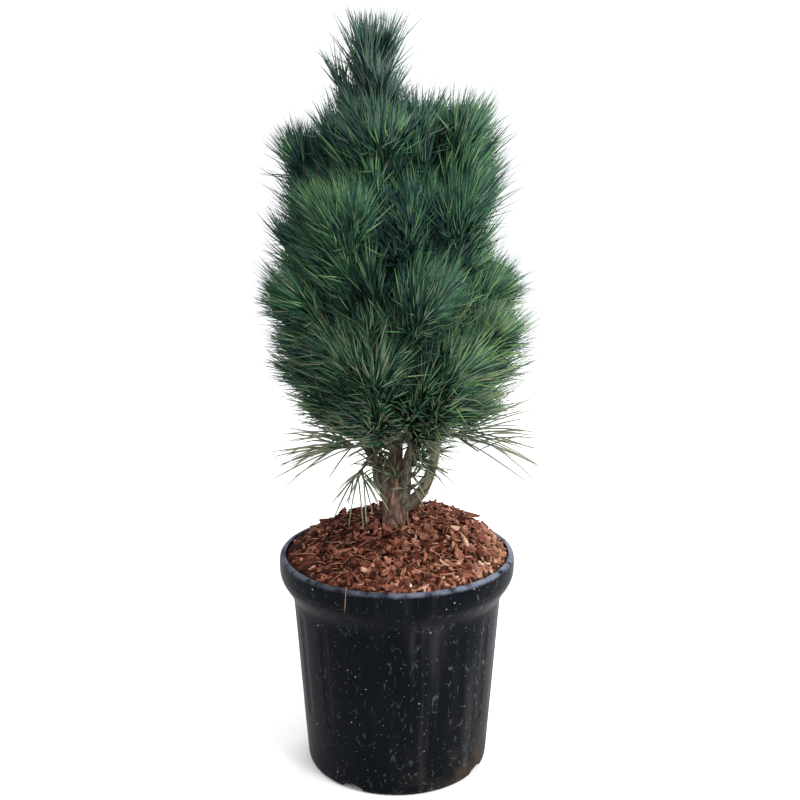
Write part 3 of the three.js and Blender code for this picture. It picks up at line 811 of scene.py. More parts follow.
def trunk_radius(share, bearing=None):
    """A taper from 12 to 3.4 mm, a foot 8 mm stouter, and a flare with five lobes at the cut."""
    height = TRUNK_FOOT + share * TRUNK_RISE - SEAT_HEIGHT
    taper = TRUNK_RADII[0] + (TRUNK_RADII[1] - TRUNK_RADII[0]) * share
    foot = 8 * (1 - smooth(39, 130, height))
    flare = 7 * (1 - smooth(0, 26, height))
    lobe = 1 if bearing is None else 1 + 0.35 * np.sin(5 * bearing)
    return taper + foot + flare * lobe


def bough_radius(base, share):
    """A taper from the base to the tip, quicker near the trunk: the share to the power 0.8."""
    return base + (BOUGH_TIP_RADIUS - base) * share ** 0.8


def bough_line(index):
    """From the trunk at the fork, by way of a bend or named points, into the stem of the mass."""
    share = (forks[index] - TRUNK_FOOT) / TRUNK_RISE
    start = trunk_line[int(round(share * (CURVE_STEPS - 1)))]
    bend = start + BEND_OUT * (roots[index] - start)
    bend[2] = start[2] + BEND_UP * (roots[index][2] - start[2])
    via = BOUGH_VIA.get(names[index], [bend])
    thickness = SLIM_SHARE if radii[index] < SMALL_TUFT else BOUGH_SHARE
    line = curve([start, *via, run_ins[index], roots[index]], BOUGH_STEPS)
    return line, thickness * trunk_radius(share)


bough_lines = {index: bough_line(index) for index in range(1, len(names))}
print("boughs:", len(bough_lines))

# %% [markdown]
# ## Bark
#
# Young pine bark breaks into small plates that curl at their edges, and each year's growth leaves a
# slight ring. Sculpting that by hand takes hours, and plain noise has no plates. A good middle way:
# scatter points over the limb, and for each spot of the surface take how much further the second
# nearest point is than the nearest. That is 0 along the cracks and grows towards the middle of each
# plate.

# %% Plates over a limb
PLATE_STRETCH = 7
CRACK_SHARE = 0.75  # how much of the relief lies under the limb's own radius


def plates(around, along, radius, length, size):
    """Distance to the second nearest of scattered points less that to the nearest, over size."""
    down = along * length / PLATE_STRETCH
    spread = np.stack([radius * np.cos(around), radius * np.sin(around), down], -1)
    count = max(12, int(TURN * radius * length / PLATE_STRETCH / size ** 2))
    turn, seed_down = rng.uniform(0, TURN, count), rng.uniform(0, length / PLATE_STRETCH, count)
    seeds = np.stack([radius * np.cos(turn), radius * np.sin(turn), seed_down], -1)
    flat = spread.reshape(-1, 3)
    squared = (flat ** 2).sum(1)[:, None] + (seeds ** 2).sum(1) - 2 * flat @ seeds.T
    nearest = np.sqrt(np.maximum(np.partition(squared, 1, axis=1)[:, :2], 0))
    return ((nearest[:, 1] - nearest[:, 0]) / size).reshape(around.shape)


def limb_surface(line, radius_at, sides, plate_size, relief):
    """A tube along the line: radius_at(share, bearing) plus the plates' relief, ends closed."""
    share = np.linspace(0, 1, len(line))[:, None]
    bearing = np.arange(sides) * TURN / sides
    flat = np.cross(line[-1] - line[0], [0.0, 0, 1])
    helper = unit(flat) if np.linalg.norm(flat) > 8 else np.array([0.0, 1, 0])
    spoke = spokes(unit(np.gradient(line, axis=0)), helper, sides)
    length = gaps(line).sum()
    radius = radius_at(share, bearing)
    around, along = np.broadcast_arrays(bearing, share)
    plate = np.clip(plates(around, along, radius.mean(), length, plate_size), 0, 1)
    year = np.sin(share * length / 9 + 2 * np.cos(bearing))
    swell = 0.35 * year * np.minimum(1, radius / 8)
    full = radius + relief * (smooth(0.02, 0.45, plate) - CRACK_SHARE) + swell
    grid = line[:, None] + full[..., None] * spoke
    points = np.concatenate([grid.reshape(-1, 3), line[:1], line[-1:]])
    return points, tube_faces(len(line), sides), np.concatenate([plate.ravel(), [0.5, 0.5]])


print("plates are longer than they are wide, times:", PLATE_STRETCH)

# %% [markdown]
# The cracks between plates are dark, because dirt stays in them and little light gets there. That
# could be painted by hand or worked out from the shade of the corners, but `put` has kept the
# plates' own number on each point. The finish reads it, so colour and relief always agree.

# %% The bark's finishes
def bark_recipe(crack, plate_dark, plate_light):
    """Cracks dark, plates between two browns by soft noise, with a fine papery relief. The left
    side is painted darker: painted shade on the side away from the light."""
    def recipe(wire):
        plate = wire.mark("plate").between(0.0, 0.25)
        soft = wire.noise(55, 3, (1, 1, 0.4)).between(0.35, 0.65)
        fine = wire.noise(420, 4, (1, 1, 0.2))
        # painted shade: the left side, away from the light, turns darker
        painted_shade_left = 1 - wire.along("X").between(-0.055, 0.005)
        painted_shade_colour = tuple(0.55 * c for c in crack)
        browns = soft.mix((*plate_dark, 1), (*plate_light, 1))
        # the painted shade colour is mixed over the browns on the left
        skin = (painted_shade_left * 0.8).mix(browns, (*painted_shade_colour, 1))
        worn = (fine.between(0.4, 0.62) * 0.7).mix(skin, (*crack, 1))
        return {"Base Color": plate.mix((*crack, 1), worn), "Normal": wire.bump(fine, 0.8)}
    return recipe


BARK_COLOURS = {
    "flaking_trunk_bark": ((0.050, 0.032, 0.023), (0.13, 0.08, 0.055), (0.30, 0.205, 0.15)),
    "grey_bough_bark": ((0.042, 0.037, 0.029), (0.11, 0.095, 0.07), (0.25, 0.22, 0.16)),
}
trunk_bark, bough_bark = (
    finish(name, {"Roughness": 0.85, "Specular IOR Level": 0.1}, bark_recipe(*colours))
    for name, colours in BARK_COLOURS.items()
)
print("bark finishes:", len(BARK_COLOURS))

# %% Make the trunk and the boughs
TRUNK_RINGS, TRUNK_SIDES, TRUNK_PLATE, TRUNK_RELIEF = 420, 72, 5.2, 1.3
BOUGH_RINGS, BOUGH_SIDES, BOUGH_PLATE, BOUGH_RELIEF = 110, 22, 4.2, 0.9

above_seat = trunk_line[trunk_line[:, 2] > SEAT_HEIGHT - 6]
dense = curve(above_seat[::6], TRUNK_RINGS)
dense_share = ((dense[:, 2] - TRUNK_FOOT) / TRUNK_RISE)[:, None]
points, faces, plate = limb_surface(
    dense, lambda share, bearing: trunk_radius(dense_share, bearing),
    TRUNK_SIDES, TRUNK_PLATE, TRUNK_RELIEF,
)
trunk = put("trunk_bark", points, faces, "bark", [trunk_bark], plate=plate)
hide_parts("trunk")

surfaces = [
    limb_surface(
        curve(line[::6], BOUGH_RINGS),
        lambda share, bearing: bough_radius(base, share) * np.ones_like(bearing),
        BOUGH_SIDES, BOUGH_PLATE, BOUGH_RELIEF,
    )
    for line, base in bough_lines.values()
]
starts = np.cumsum([0] + [len(points) for points, _, _ in surfaces])
points = np.concatenate([points for points, _, _ in surfaces])
faces = np.concatenate([faces + first for (_, faces, _), first in zip(surfaces, starts)])
plate = np.concatenate([plate for _, _, plate in surfaces])
boughs = put("bough_bark", points, faces, "bark", [bough_bark], plate=plate)
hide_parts(*["bough_" + name for name in names[1:]])

# %% [markdown]
# ## Where shoots may grow
#
# Each mass of foliage keeps to a cell of its own, as real shoots grow towards the light and not
# into their neighbours: towards each neighbour there is a plane, where the two balls of twigs would
# meet. Blender could test every needle against the meshes, but slowly. Here a needle is tested
# against those planes and against the limbs, which stand in as strings of balls.

# %% Planes and balls
CELL_GAP = 0.8  # how far each cell stays back from the plane between two
WOOD_GAP = 1


def cell_planes(index):
    """Plane normals and offsets towards every other hub: share = (gap^2 + r^2 - r'^2) / 2 gap."""
    others = np.delete(np.arange(len(names)), index)
    towards = hubs[others] - hubs[index]
    gap = np.linalg.norm(towards, axis=1)
    share = (gap ** 2 + radii[index] ** 2 - radii[others] ** 2) / (2 * gap)
    normals = towards / gap[:, None]
    return normals, (normals * hubs[index]).sum(1) + share - CELL_GAP


balls = [(trunk_line[::3], trunk_radius(np.linspace(0, 1, CURVE_STEPS))[::3])]
for line, base in bough_lines.values():
    centres = line[::2]
    balls.append((centres, bough_radius(base, np.linspace(0, 1, len(centres)))))
ball_centres, ball_radii = (np.concatenate(column) for column in zip(*balls))


def has_room(start, end, radius, planes, margin=0.0):
    """True for each stretch that stays inside the planes and clear of every ball. The squared
    distance to a ball is |c - s|^2 - 2 t (way . (c - s)) + t^2 |way|^2 at the nearest share t."""
    normals, offsets = planes
    inside = start @ normals.T - offsets <= margin - radius
    inside &= end @ normals.T - offsets <= margin - radius / 3
    way = end - start
    reach = (way ** 2).sum(1)[:, None]
    across = way @ ball_centres.T - (way * start).sum(1)[:, None]
    nearest = np.clip(across / reach, 0, 1)
    flat = (start ** 2).sum(1)[:, None] + (ball_centres ** 2).sum(1) - 2 * start @ ball_centres.T
    squared = flat - 2 * nearest * across + nearest ** 2 * reach
    return inside.all(1) & (squared > (ball_radii + radius + WOOD_GAP) ** 2).all(1)


print("balls along the limbs:", len(ball_radii))

# %% [markdown]
# ## Shoots
#
# A pine grows by whorls: each year's bud breaks into a leading shoot and a few side shoots round
# it. The main twigs come from the same seeded numbers as their solids. From there the crown is
# filled as the tree fills it: whorls on the outer stretch of each bough, side shoots and finer ones
# on each twig, short shoots up the trunk, thin fuzz at its foot, and a few that bridge the gap
# between two masses. Each kind is a function that returns rows, most of them turned by the golden
# angle from the one before. Particles or a node system could scatter shoots as densely, but not as
# a tree does.

# %% The main twigs
TWIG_TRIES = 4
TWIG_FAN = 2
TWIG_LIFT = 0.2
TWIG_SPACING = 0.6
TWIG_REACH = 1.3
SPRAY_RADIUS = 10


def stream(seed):
    """A repeatable stream of numbers from 0 to 1, the one that the solids were grown with."""
    state = (seed * 7919) & 0xFFFFFFFF
    while True:
        state = (state + 0x6D2B79F5) & 0xFFFFFFFF
        t = ((state ^ (state >> 15)) * (1 | state)) & 0xFFFFFFFF
        t = ((t + (((t ^ (t >> 7)) * (61 | t)) & 0xFFFFFFFF)) & 0xFFFFFFFF) ^ t
        yield (t ^ (t >> 14)) / 4294967296


def turned_about(vector, axis, angle):
    """Rodrigues' formula: v cos a + (k x v) sin a + k (k . v)(1 - cos a)."""
    c, s = math.cos(angle), math.sin(angle)
    return vector * c + np.cross(axis, vector) * s + axis * (axis @ vector) * (1 - c)


def leaning(axis, angle, turn):
    """A direction that leans from the axis by an angle, towards a turn round it."""
    side = np.cross([0.0, 0, 1], axis)
    side = np.array([1.0, 0, 0]) if np.linalg.norm(side) < 0.05 else side
    return turned_about(axis, turned_about(unit(side), axis, turn), angle)


def main_twigs(index):
    """Twigs fan out from the hub by the golden angle, each lifted a little and kept apart."""
    numbers, planes, kept = stream(index + 1), cell_planes(index), []
    count = twig_counts[index]
    for i in range(count * TWIG_TRIES):
        if len(kept) == count:
            break
        fan = TWIG_FAN * angles[index] * math.sqrt((i % count) / count)
        way = leaning(axes[index], fan, GOLDEN_ANGLE * i + 0.5 * next(numbers))
        way = unit(way + [0, 0, TWIG_LIFT])
        length = TWIG_REACH * radii[index] * (0.9 + 0.2 * next(numbers))
        ends = hubs[index] + way * length / 2, hubs[index] + way * length
        apart = all(math.acos(np.clip(way @ other, -1, 1)) > TWIG_SPACING for other, _ in kept)
        if apart and has_room(ends[0][None], ends[1][None], SPRAY_RADIUS, planes)[0]:
            kept.append((way, length))
    return kept


twigs = [main_twigs(index) for index in range(len(names))]
print("main twigs:", sum(len(t) for t in twigs))

# %% [markdown]
# Shoots and needles don't point just anywhere: low in the crown they reach outwards, past the shade
# of what is above, and higher up they stand. Each shoot could be turned by hand, but there are more
# than sixteen hundred. So one function gives the way of the foliage at any place, and all that
# grows is pulled towards it.

# %% The sweep of the foliage
SWEEP_HEIGHT = [460, 560, 660, 780, 900]
SWEEP_RISE = np.radians([-12, 30, 54, 68, 84])
SWEEP_LIFT = 0.55  # radians more near the middle of the lower crown, which opens like a broom
SWEEP_WAVE = 0.4


def sweep(place):
    """The way that foliage sweeps at a place: outwards low in the crown and upright at its top,
    steeper in the middle of its lower half, and turned a little by a slow wave, as no two
    neighbouring shoots agree."""
    x, height = place[..., 0], place[..., 2]
    rise = np.interp(height, SWEEP_HEIGHT, SWEEP_RISE)[..., None]
    lift = SWEEP_LIFT * smooth(78, 15, np.abs(x)) * smooth(470, 520, height)
    rise = rise + (lift * smooth(740, 640, height))[..., None]
    flat = place * [1, 1, 0]
    out = np.linalg.norm(flat, axis=-1, keepdims=True)
    upright = np.array([0.0, 0, 1]) * (np.sin(rise) + 0.6 * smooth(60, 0, out))
    wave = SWEEP_WAVE * np.sin(place[..., [1, 2, 0]] / 19 + np.array([0.4, 2.0, 4.1]))
    return unit(flat / np.maximum(out, 60) * np.cos(rise) + upright + wave)


print("sweep at half height on the right:", sweep(np.array([100.0, 0, 650])).round(2))

# %% Side shoots
SIDE_SHOOTS = 6
FINE_SHOOTS = 1
WHORL_REACH = 120  # the stretch of a limb, back from the hub of its mass, that bears shoots
WHORL_STEP = 20
WHORL_SHOOTS = 3
PULL = np.where(np.arange(len(names)) == 0, 0.7, 1.7)  # of the sweep; the leader's stand wider
# the share of age of each kind: an older shoot has fewer needles, which lean out more
NEW, WHORL_STEM, WHORL_SIDE, SIDE, FINE, OLD, BRIDGE_STALK, FUZZ = (
    0.0, 0.1, 0.2, 0.25, 0.45, 0.5, 0.8, 0.9)


def spot_before(line, back):
    """The point at a distance back along the line from its end, and the way on from there."""
    to_end = np.concatenate([np.cumsum(gaps(line)[::-1])[::-1], [0]])
    spots = -np.array([back, back - 4])
    here, on = np.stack([np.interp(spots, -to_end, axis) for axis in line.T], -1)
    return here, unit(on - here)


def whorls(index):
    """Rows of start, way, length and share of age, for shoots that leave the limb's outer stretch,
    a few at each year's growth."""
    line = trunk_line if index == 0 else bough_lines[index][0]
    line = np.vstack([line, hubs[index]])
    stretch = min(WHORL_REACH, 0.8 * gaps(line).sum())
    rows = []
    for order, back in enumerate(np.arange(6, stretch, WHORL_STEP)):
        place, forward = spot_before(line, back)
        rows.append((place, forward, WHORL_STEP, WHORL_STEM))
        for k in range(WHORL_SHOOTS):
            turn = GOLDEN_ANGLE * order + TURN * k / WHORL_SHOOTS
            side = leaning(forward, rng.uniform(0.7, 1.15), turn)
            side = unit(side + 0.8 * PULL[index] * sweep(place))
            rows.append((place, side, radii[index] * rng.uniform(0.8, 1.4), WHORL_SIDE))
    return rows


def shoots_of(index):
    """Rows as above for one mass: main twigs, whorls, side and fine shoots."""
    rows = [(hubs[index], way, length, NEW) for way, length in twigs[index]]
    if radii[index] < SMALL_TUFT:
        return rows
    rows += whorls(index)
    count = 0
    for way, length in twigs[index]:
        for k in range(SIDE_SHOOTS):
            count += 1
            share = 0.05 + 0.6 * k / SIDE_SHOOTS
            start = hubs[index] + way * length * share
            side = leaning(way, rng.uniform(0.4, 0.9), GOLDEN_ANGLE * count * 1.7)
            side = unit(side + PULL[index] * sweep(start))
            reach = length * (1 - share) * rng.uniform(0.6, 1)
            rows.append((start, side, reach, SIDE))
            for spot in rng.uniform(0.3, 0.7, FINE_SHOOTS):
                fork = start + side * reach * spot
                fine = leaning(side, rng.uniform(0.5, 0.9), rng.uniform(0, TURN))
                rows.append((fork, unit(fine + 1.3 * sweep(fork)), rng.uniform(20, 34), FINE))
    return rows


shoots = [(index, *row) for index in range(len(names)) for row in shoots_of(index)]
print("shoots in the masses:", len(shoots))

# %% Shoots on the trunk and between the masses
TRUNK_SHOOTS = (424, 900, 8)  # heights of the first and the last shoot on the trunk, and the step
FUZZ_HEIGHTS = [394, 404, 414, 426, 438, 450, 428, 436, 444, 450, 456, 462, 468]
FUZZ_ON_THE_RIGHT = 6
BRIDGE_GAP = 160
BRIDGE_SHOOTS = 4


def trunk_at(height):
    """The point of the trunk's middle line at a height."""
    return trunk_line[int((height - TRUNK_FOOT) / TRUNK_RISE * (CURVE_STEPS - 1))]


def trunk_shoots():
    """Rows of mass, start, way, length and share of age, for short shoots up the trunk, each owned
    by the nearest full mass."""
    rows = []
    for order, height in enumerate(np.arange(*TRUNK_SHOOTS)):
        place = trunk_at(height)
        side = leaning(np.array([0.0, 0, 1]), rng.uniform(0.8, 1.3), GOLDEN_ANGLE * order)
        near = np.linalg.norm(hubs - place, axis=1) + 1000 * (radii < SMALL_TUFT)
        rows.append((int(np.argmin(near)), place, side, rng.uniform(30, 50), OLD))
    return rows


def fuzz_shoots():
    """Rows as above for short thin shoots low on the trunk: the first few point to the right, where
    the bent bough is, and the others to the left."""
    rows = []
    for order, height in enumerate(FUZZ_HEIGHTS):
        across = 1.0 if order < FUZZ_ON_THE_RIGHT else -1.1
        side = unit(np.array([across, 0.5 * (-1) ** order - 0.3, 0.7]))
        length = rng.uniform(26, 40)
        rows.append((names.index("foot"), trunk_at(height) + 12 * side, side, length, FUZZ))
    return rows


def bridges():
    """Rows as above for the gap between two near masses: a stalk from the first to halfway, and
    shoots that stand on its end along the sweep."""
    rows = []
    for one, other in np.argwhere(np.linalg.norm(hubs[:, None] - hubs, axis=2) < BRIDGE_GAP):
        if one >= other or min(radii[one], radii[other]) < SMALL_TUFT:
            continue
        middle = (hubs[one] + hubs[other]) / 2
        stalk = middle - 20 * sweep(middle) - hubs[one]
        rows.append((one, hubs[one], unit(stalk), np.linalg.norm(stalk), BRIDGE_STALK))
        for _ in range(BRIDGE_SHOOTS):
            way = unit(sweep(middle) + rng.normal(0, 0.4, 3))
            rows.append((one, hubs[one] + stalk, way, rng.uniform(35, 60), WHORL_SIDE))
    return rows


shoots += trunk_shoots() + fuzz_shoots() + bridges()
owner, start, ahead, reach, age = (np.array(column) for column in zip(*shoots))
sparse = radii[owner] < SMALL_TUFT
print("shoots in all:", len(shoots))

# %% [markdown]
# ## Needles
#
# Mugo needles stand in pairs all round the shoot, here about 60 mm long and under 2 mm wide, and
# lie closer to it the nearer they sit to its tip. Particles would be quick, but they are lost on
# export. So each needle is a real mesh, a blade like the straws: two rings of three points and a
# tip, or five rings in the low fringe, where single needles show. All of them come out of a few
# array sums. What varies from place to place is a table, read off along straight lines.

# %% How a needle leaves its shoot
PAIRS_PER_MM = 0.92
STRAY_SHARE = 0.16
FULLNESS = [(14, 0.45), (26, 0.24), (30, 0.3), (31, 1)]  # radius of the mass, share of the pairs
PUSH = [(600, 0.75), (720, 1.15), (900, 1.15)]  # height, how strongly the sweep turns the needles
LEADER_PUSH = 0.75


def looked_up(table, x):
    """x looked up in (x, value) rows, along straight lines between them."""
    return np.interp(x, *np.transpose(table))


def spiral(shoot, order, count):
    """Roots up a shoot at the golden angle. A needle leans from the shoot by the mass's angle times
    1.35 - share, a little more on an old shoot, and is then pushed along the sweep."""
    share = (order + 0.5) / count
    turn = GOLDEN_ANGLE * order + rng.uniform(-0.4, 0.4, len(order))
    forward, mass, old = ahead[shoot], owner[shoot], 1 + 0.5 * age[shoot]
    across = basis(forward, turn, 0.95)[0]
    lean = angles[mass] * (1.35 - share) * old + rng.normal(0, 0.12, len(order))
    root = start[shoot] + forward * (reach[shoot] * (0.06 + 0.94 * share))[:, None]
    way = across * np.sin(lean)[:, None] + forward * np.cos(lean)[:, None]
    push = np.where(mass > 0, looked_up(PUSH, root[:, 2]), LEADER_PUSH)
    push *= (1 + 1.5 * np.clip(-forward[:, 2], 0, 1)) * (radii[mass] > 20)
    return root, unit(way + push[:, None] * sweep(root)), across, share


def strayed(way, across, loose):
    """The two needles of a pair part a little, and every one strays, the loose ones more."""
    twist = unit(np.cross(way, across)) * np.where(np.arange(len(way)) % 2, 1, -1)[:, None]
    loose = loose | (rng.uniform(0, 1, len(way)) < STRAY_SHARE)
    spread = np.where(loose, 0.35, 0.16)[:, None]
    return unit(way + 0.06 * twist + spread * rng.normal(0, 1, way.shape))


def opened(way, x, height):
    """High in the crown the needles at the right and the left turn further outwards."""
    left = 0.7 * smooth(-40, -100, x) * smooth(900, 860, height)
    outwards = (1.5 * smooth(30, 120, x) - left) * smooth(760, 820, height)
    return unit(way + 0.4 * outwards[:, None] * [1.0, 0, 0])


pairs = PAIRS_PER_MM * reach * (1 - 0.8 * age) * looked_up(FULLNESS, radii[owner])
pairs = np.maximum(4, pairs.astype(int))
shoot = np.repeat(np.arange(len(shoots)), pairs)
order = np.arange(len(shoot)) - np.repeat(np.cumsum(pairs) - pairs, pairs)
needles = shoot, *spiral(shoot, order, pairs[shoot])
shoot, root, way, across, share = (np.repeat(column, 2, axis=0) for column in needles)
way = strayed(way, across, sparse[shoot])
print("needles before the room test:", len(way))

# %% How long a needle is
NEEDLE_LENGTH = [(480, 86), (560, 76), (960, 66)]  # height, millimetres
# height, how much longer the needles on the right are, as they get more light
SUNNY = [(600, 0.5), (640, -0.08), (690, -0.2), (740, 0.12), (780, 0.28), (820, 0.45), (900, 0.12)]
FRINGE_LENGTH = [(14, 1.0), (26, 1.1), (30, 1.4)]  # radius of the mass, times as long
FUZZ_LENGTH = 0.6
LONG = 90  # a longer needle is eased down, to this and at most another 35 mm
LONG_MORE = 35


def needle_lengths(shoot, root, share):
    """The length by height, times a random share and one that is greatest halfway up the shoot,
    times what the place makes of it, and then eased down."""
    x, height, count = root[:, 0], root[:, 2], len(root)
    length = looked_up(NEEDLE_LENGTH, height)
    length *= rng.uniform(0.6, 1.2, count) * (0.86 + 0.14 * np.sin(math.pi * share))
    sunny = smooth(30, 120, x) * looked_up(SUNNY, height)
    length *= np.where(height < 470, 0.7, 1 + sunny)
    length *= 1 + 0.14 * smooth(50, 90, np.abs(x)) * smooth(600, 560, height)
    length *= np.where(age[shoot] == FUZZ, FUZZ_LENGTH, 1)
    length *= 1 + 0.4 * smooth(950, 1010, height)
    length *= np.where(sparse[shoot], looked_up(FRINGE_LENGTH, radii[owner[shoot]]), 1)
    over = np.maximum(0, length - LONG)
    return np.minimum(length, LONG) + LONG_MORE * (1 - np.exp(-over / 50))


length = needle_lengths(shoot, root, share)
way = opened(way, root[:, 0], root[:, 2])
print("half of the needles are longer than, in mm:", round(np.median(length)))

# %% Which needles have room
SAG = [(470, 0.26), (540, 0.06), (620, -0.03)]  # height, share of the length that a needle droops
FRINGE_SAG = 1.25
BOX_MARGIN = 0.5
CELL_MARGIN = 80  # needles reach this far into a neighbour's cell
CLEAR_SHARE = 0.45  # the part near the root, which may touch the wood
UNDERSIDE_HEIGHT = 416  # the crown's underside is a cone that rises outwards, few needles below
UNDERSIDE_SLOPE = 0.86
UNDERSIDE_RIGHT = 35  # the right side reaches a little lower
HANG_HEIGHT = 432  # further out than the reach, nothing hangs below this height
HANG_REACH = 105

box_low, box_high = np.array(cad_box[0]) / MM + BOX_MARGIN, np.array(cad_box[1]) / MM - BOX_MARGIN
sag = looked_up(SAG, root[:, 2]) * rng.uniform(0.3, 1.2, len(way))
sag *= np.where(sparse[shoot], FRINGE_SAG, 1)
bend = np.stack([0 * sag, 0 * sag, -sag], -1) + rng.normal(0, 0.03, way.shape)
rise = length * (way + bend)[:, 2]
ceiling = box_high[2] - rng.uniform(0.5, 14, len(way)) - root[:, 2]
length *= np.clip(ceiling / np.maximum(rise, 1), 0.3, 1)
tip = root + length[:, None] * (way + bend)
out = np.hypot(tip[:, 0], tip[:, 1])
kept = np.zeros(len(way), bool)
for index in range(len(names)):
    mine = owner[shoot] == index
    clear_root = root[mine] + CLEAR_SHARE * (tip[mine] - root[mine])
    kept[mine] = has_room(clear_root, tip[mine], 0.3, cell_planes(index), CELL_MARGIN)
kept &= ((tip > box_low) & (tip < box_high)).all(1)
kept &= (tip[:, 2] > HANG_HEIGHT) | (out <= HANG_REACH)
under = UNDERSIDE_HEIGHT + UNDERSIDE_SLOPE * out - tip[:, 2]
under -= UNDERSIDE_RIGHT * smooth(0, 80, tip[:, 0])
kept &= sparse[shoot] | (rng.uniform(0, 1, len(way)) > 0.93 * smooth(-10, 30, under))
airy = 0.35 * smooth(930, 1000, root[:, 2])
airy += 0.62 * smooth(80, 125, root[:, 0]) * smooth(770, 810, root[:, 2])
kept &= rng.uniform(0, 1, len(way)) > airy  # sky shows through the top and the upper right
needles = shoot, root, way, bend, length, share
shoot, root, way, bend, length, share = (column[kept] for column in needles)
print("needles kept:", len(way))

# %% [markdown]
# A needle is slim at the sheath, full for most of its length, and tapers quickly to the tip. Its
# colour is dealt out by the shoot that it stands on, and much of it is painted light and shade:
# painted shade inside the crown and under the masses, with a blue cast at a few spots, and painted
# light further out, at the front and on the front left. Older shoots are darker too. Grey blue is
# dealt out at the top and olive in the low fringe. The part next to the shoot is painted a step
# darker, as shade. A texture could vary the colour more finely, but a blade this thin shows no more
# than one finish for each face.

# %% Needle colours
# the first six are one green in steps from deep painted shade to painted light
NEEDLE_COLOURS = {
    "needle_night": (0.006, 0.021, 0.016),
    "needle_deep": (0.011, 0.045, 0.027),
    "needle_blue_green": (0.024, 0.082, 0.046),
    "needle_green": (0.043, 0.126, 0.057),
    "needle_lit_fresh": (0.080, 0.180, 0.073),
    "needle_bright": (0.155, 0.268, 0.115),
    "needle_yellow_green": (0.155, 0.265, 0.090),
    "needle_olive": (0.175, 0.195, 0.120),
    "needle_grey_blue": (0.085, 0.125, 0.115),
    "needle_blue_shade": (0.014, 0.040, 0.044),
}
BRIGHTEST, YELLOW_GREEN, OLIVE, GREY_BLUE, BLUE_SHADE = 5, 6, 7, 8, 9
# painted shade: the band next to the shoot gets a darker colour, as it lies among the other needles
SHADE_BELOW = np.array([0, 0, 0, 1, 2, 3, 3, 2, 1, 0])  # the colour next to the shoot, for each
# x, y, height and spread in millimetres, and how many shades lighter the foliage is painted
# there: spots of painted light, and of painted shade where the number is below 0
LIGHT_SPOTS = [
    (-58, -90, 826, 90, 1.15), (14, -75, 790, 60, -1.7), (-140, 0, 850, 85, -2.2),
    (140, -20, 670, 80, -0.6), (50, -110, 695, 75, -1.0), (0, -40, 500, 80, -1.2),
    (90, -20, 900, 60, 0.5), (-28, -70, 925, 60, -1.1), (-150, -20, 650, 90, -1.0),
    (140, -20, 590, 80, -0.6),
]
BLUE_SPOTS = [(-140, 0, 850, 110), (32, -70, 785, 65)]  # the same, where shade has a blue cast

needle_finishes = [
    finish(name, {"Base Color": (*colour, 1), "Roughness": 0.5, "Specular IOR Level": 0.15})
    for name, colour in NEEDLE_COLOURS.items()
]
print("needle finishes:", len(needle_finishes))

# %% Deal the colours out by shoot
shoot_end = start + ahead * reach[:, None]
end_height = shoot_end[:, 2]


def near(spot, spread):
    """exp(-(distance / spread)^2) from the spot, for each shoot's end."""
    return np.exp(-((shoot_end - spot) ** 2).sum(1) / spread ** 2)


def deal(colour, chance, among=True):
    """The colour goes to needles picked at random, with their shoot's chance."""
    tone[among & (rng.uniform(0, 1, len(tone)) < chance[shoot])] = colour


outward = np.hypot(shoot_end[:, 0], shoot_end[:, 1]) / 150
# painted light and shade by shoot: lighter further out and at the front, darker inside; older
# darker
light = 1.1 + 1.2 * outward - 1.4 * age + 0.7 * smooth(120, -150, shoot_end[:, 1])
# painted light from above: shoots that point up lighter, those that point down and the low crown
# darker
steep = 0.9 * ahead[:, 2] - 0.35 - 0.45 * smooth(740, 620, end_height)
light += steep + rng.normal(0, 0.75, len(shoots))
# painted light and painted shade at the listed spots
for *spot, spread, lift in LIGHT_SPOTS:
    light += lift * near(spot, spread)
# each needle takes its shoot's painted light, lighter towards the shoot's end, with a random spread
tone = light[shoot] + 1.2 * (share - 0.5) + rng.normal(0, 1.5, len(shoot))
tone = np.clip(np.round(tone), 0, BRIGHTEST).astype(int)
deal(YELLOW_GREEN, smooth(20, 140, shoot_end[:, 0]) * smooth(760, 600, end_height) * 0.28)
olive = 0.75 * smooth(560, 490, end_height) + 0.2 * sparse + 0.14 * smooth(720, 620, end_height)
deal(OLIVE, olive)
deal(BLUE_SHADE, 0.8 * sum(near(spot, spread) for *spot, spread in BLUE_SPOTS), tone <= 2)
deal(GREY_BLUE, 0.6 * smooth(860, 960, end_height) + 0.05)
print("needles of each colour:", np.bincount(tone).tolist())

# %% Make the needles
GROUPS = 7
NEEDLE_RADIUS = 1.0
NEEDLE_SHARE = np.array([0.0, 0.42])
NEEDLE_WIDTH = np.array([0.7, 1.0])
FRINGE_SHARE = np.array([0.0, 0.2, 0.45, 0.7, 0.9])
FRINGE_WIDTH = np.array([0.7, 1.2, 1.3, 1.1, 0.7])
thick = NEEDLE_RADIUS * rng.uniform(0.85, 1.2, len(root))


def put_needles(name, members, ring_share, ring_width):
    """The needles of some masses as one piece, the lowest band of each in painted shade, a step
    darker.
    """
    mine = np.isin(owner[shoot], members)
    blades = (column[mine] for column in (root, way, bend, length, thick))
    points = blade_points(*blades, ring_share, ring_width)
    # painted shade on the band next to the shoot
    band = np.arange(6 * len(ring_share) - 3) < 6
    shade = np.where(band, SHADE_BELOW[tone[mine]][:, None], tone[mine][:, None])
    faces = blade_faces(mine.sum(), len(ring_share))
    piece = put(name, points.reshape(-1, 3), faces, "needles", needle_finishes, shade.ravel())
    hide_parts(*["tuft_" + names[m] for m in members])


for group, members in enumerate(np.array_split(np.flatnonzero(radii >= SMALL_TUFT), GROUPS), 1):
    put_needles(f"needles_{group}", members, NEEDLE_SHARE, NEEDLE_WIDTH)
put_needles("fringe_needles", np.flatnonzero(radii < SMALL_TUFT), FRINGE_SHARE, FRINGE_WIDTH)

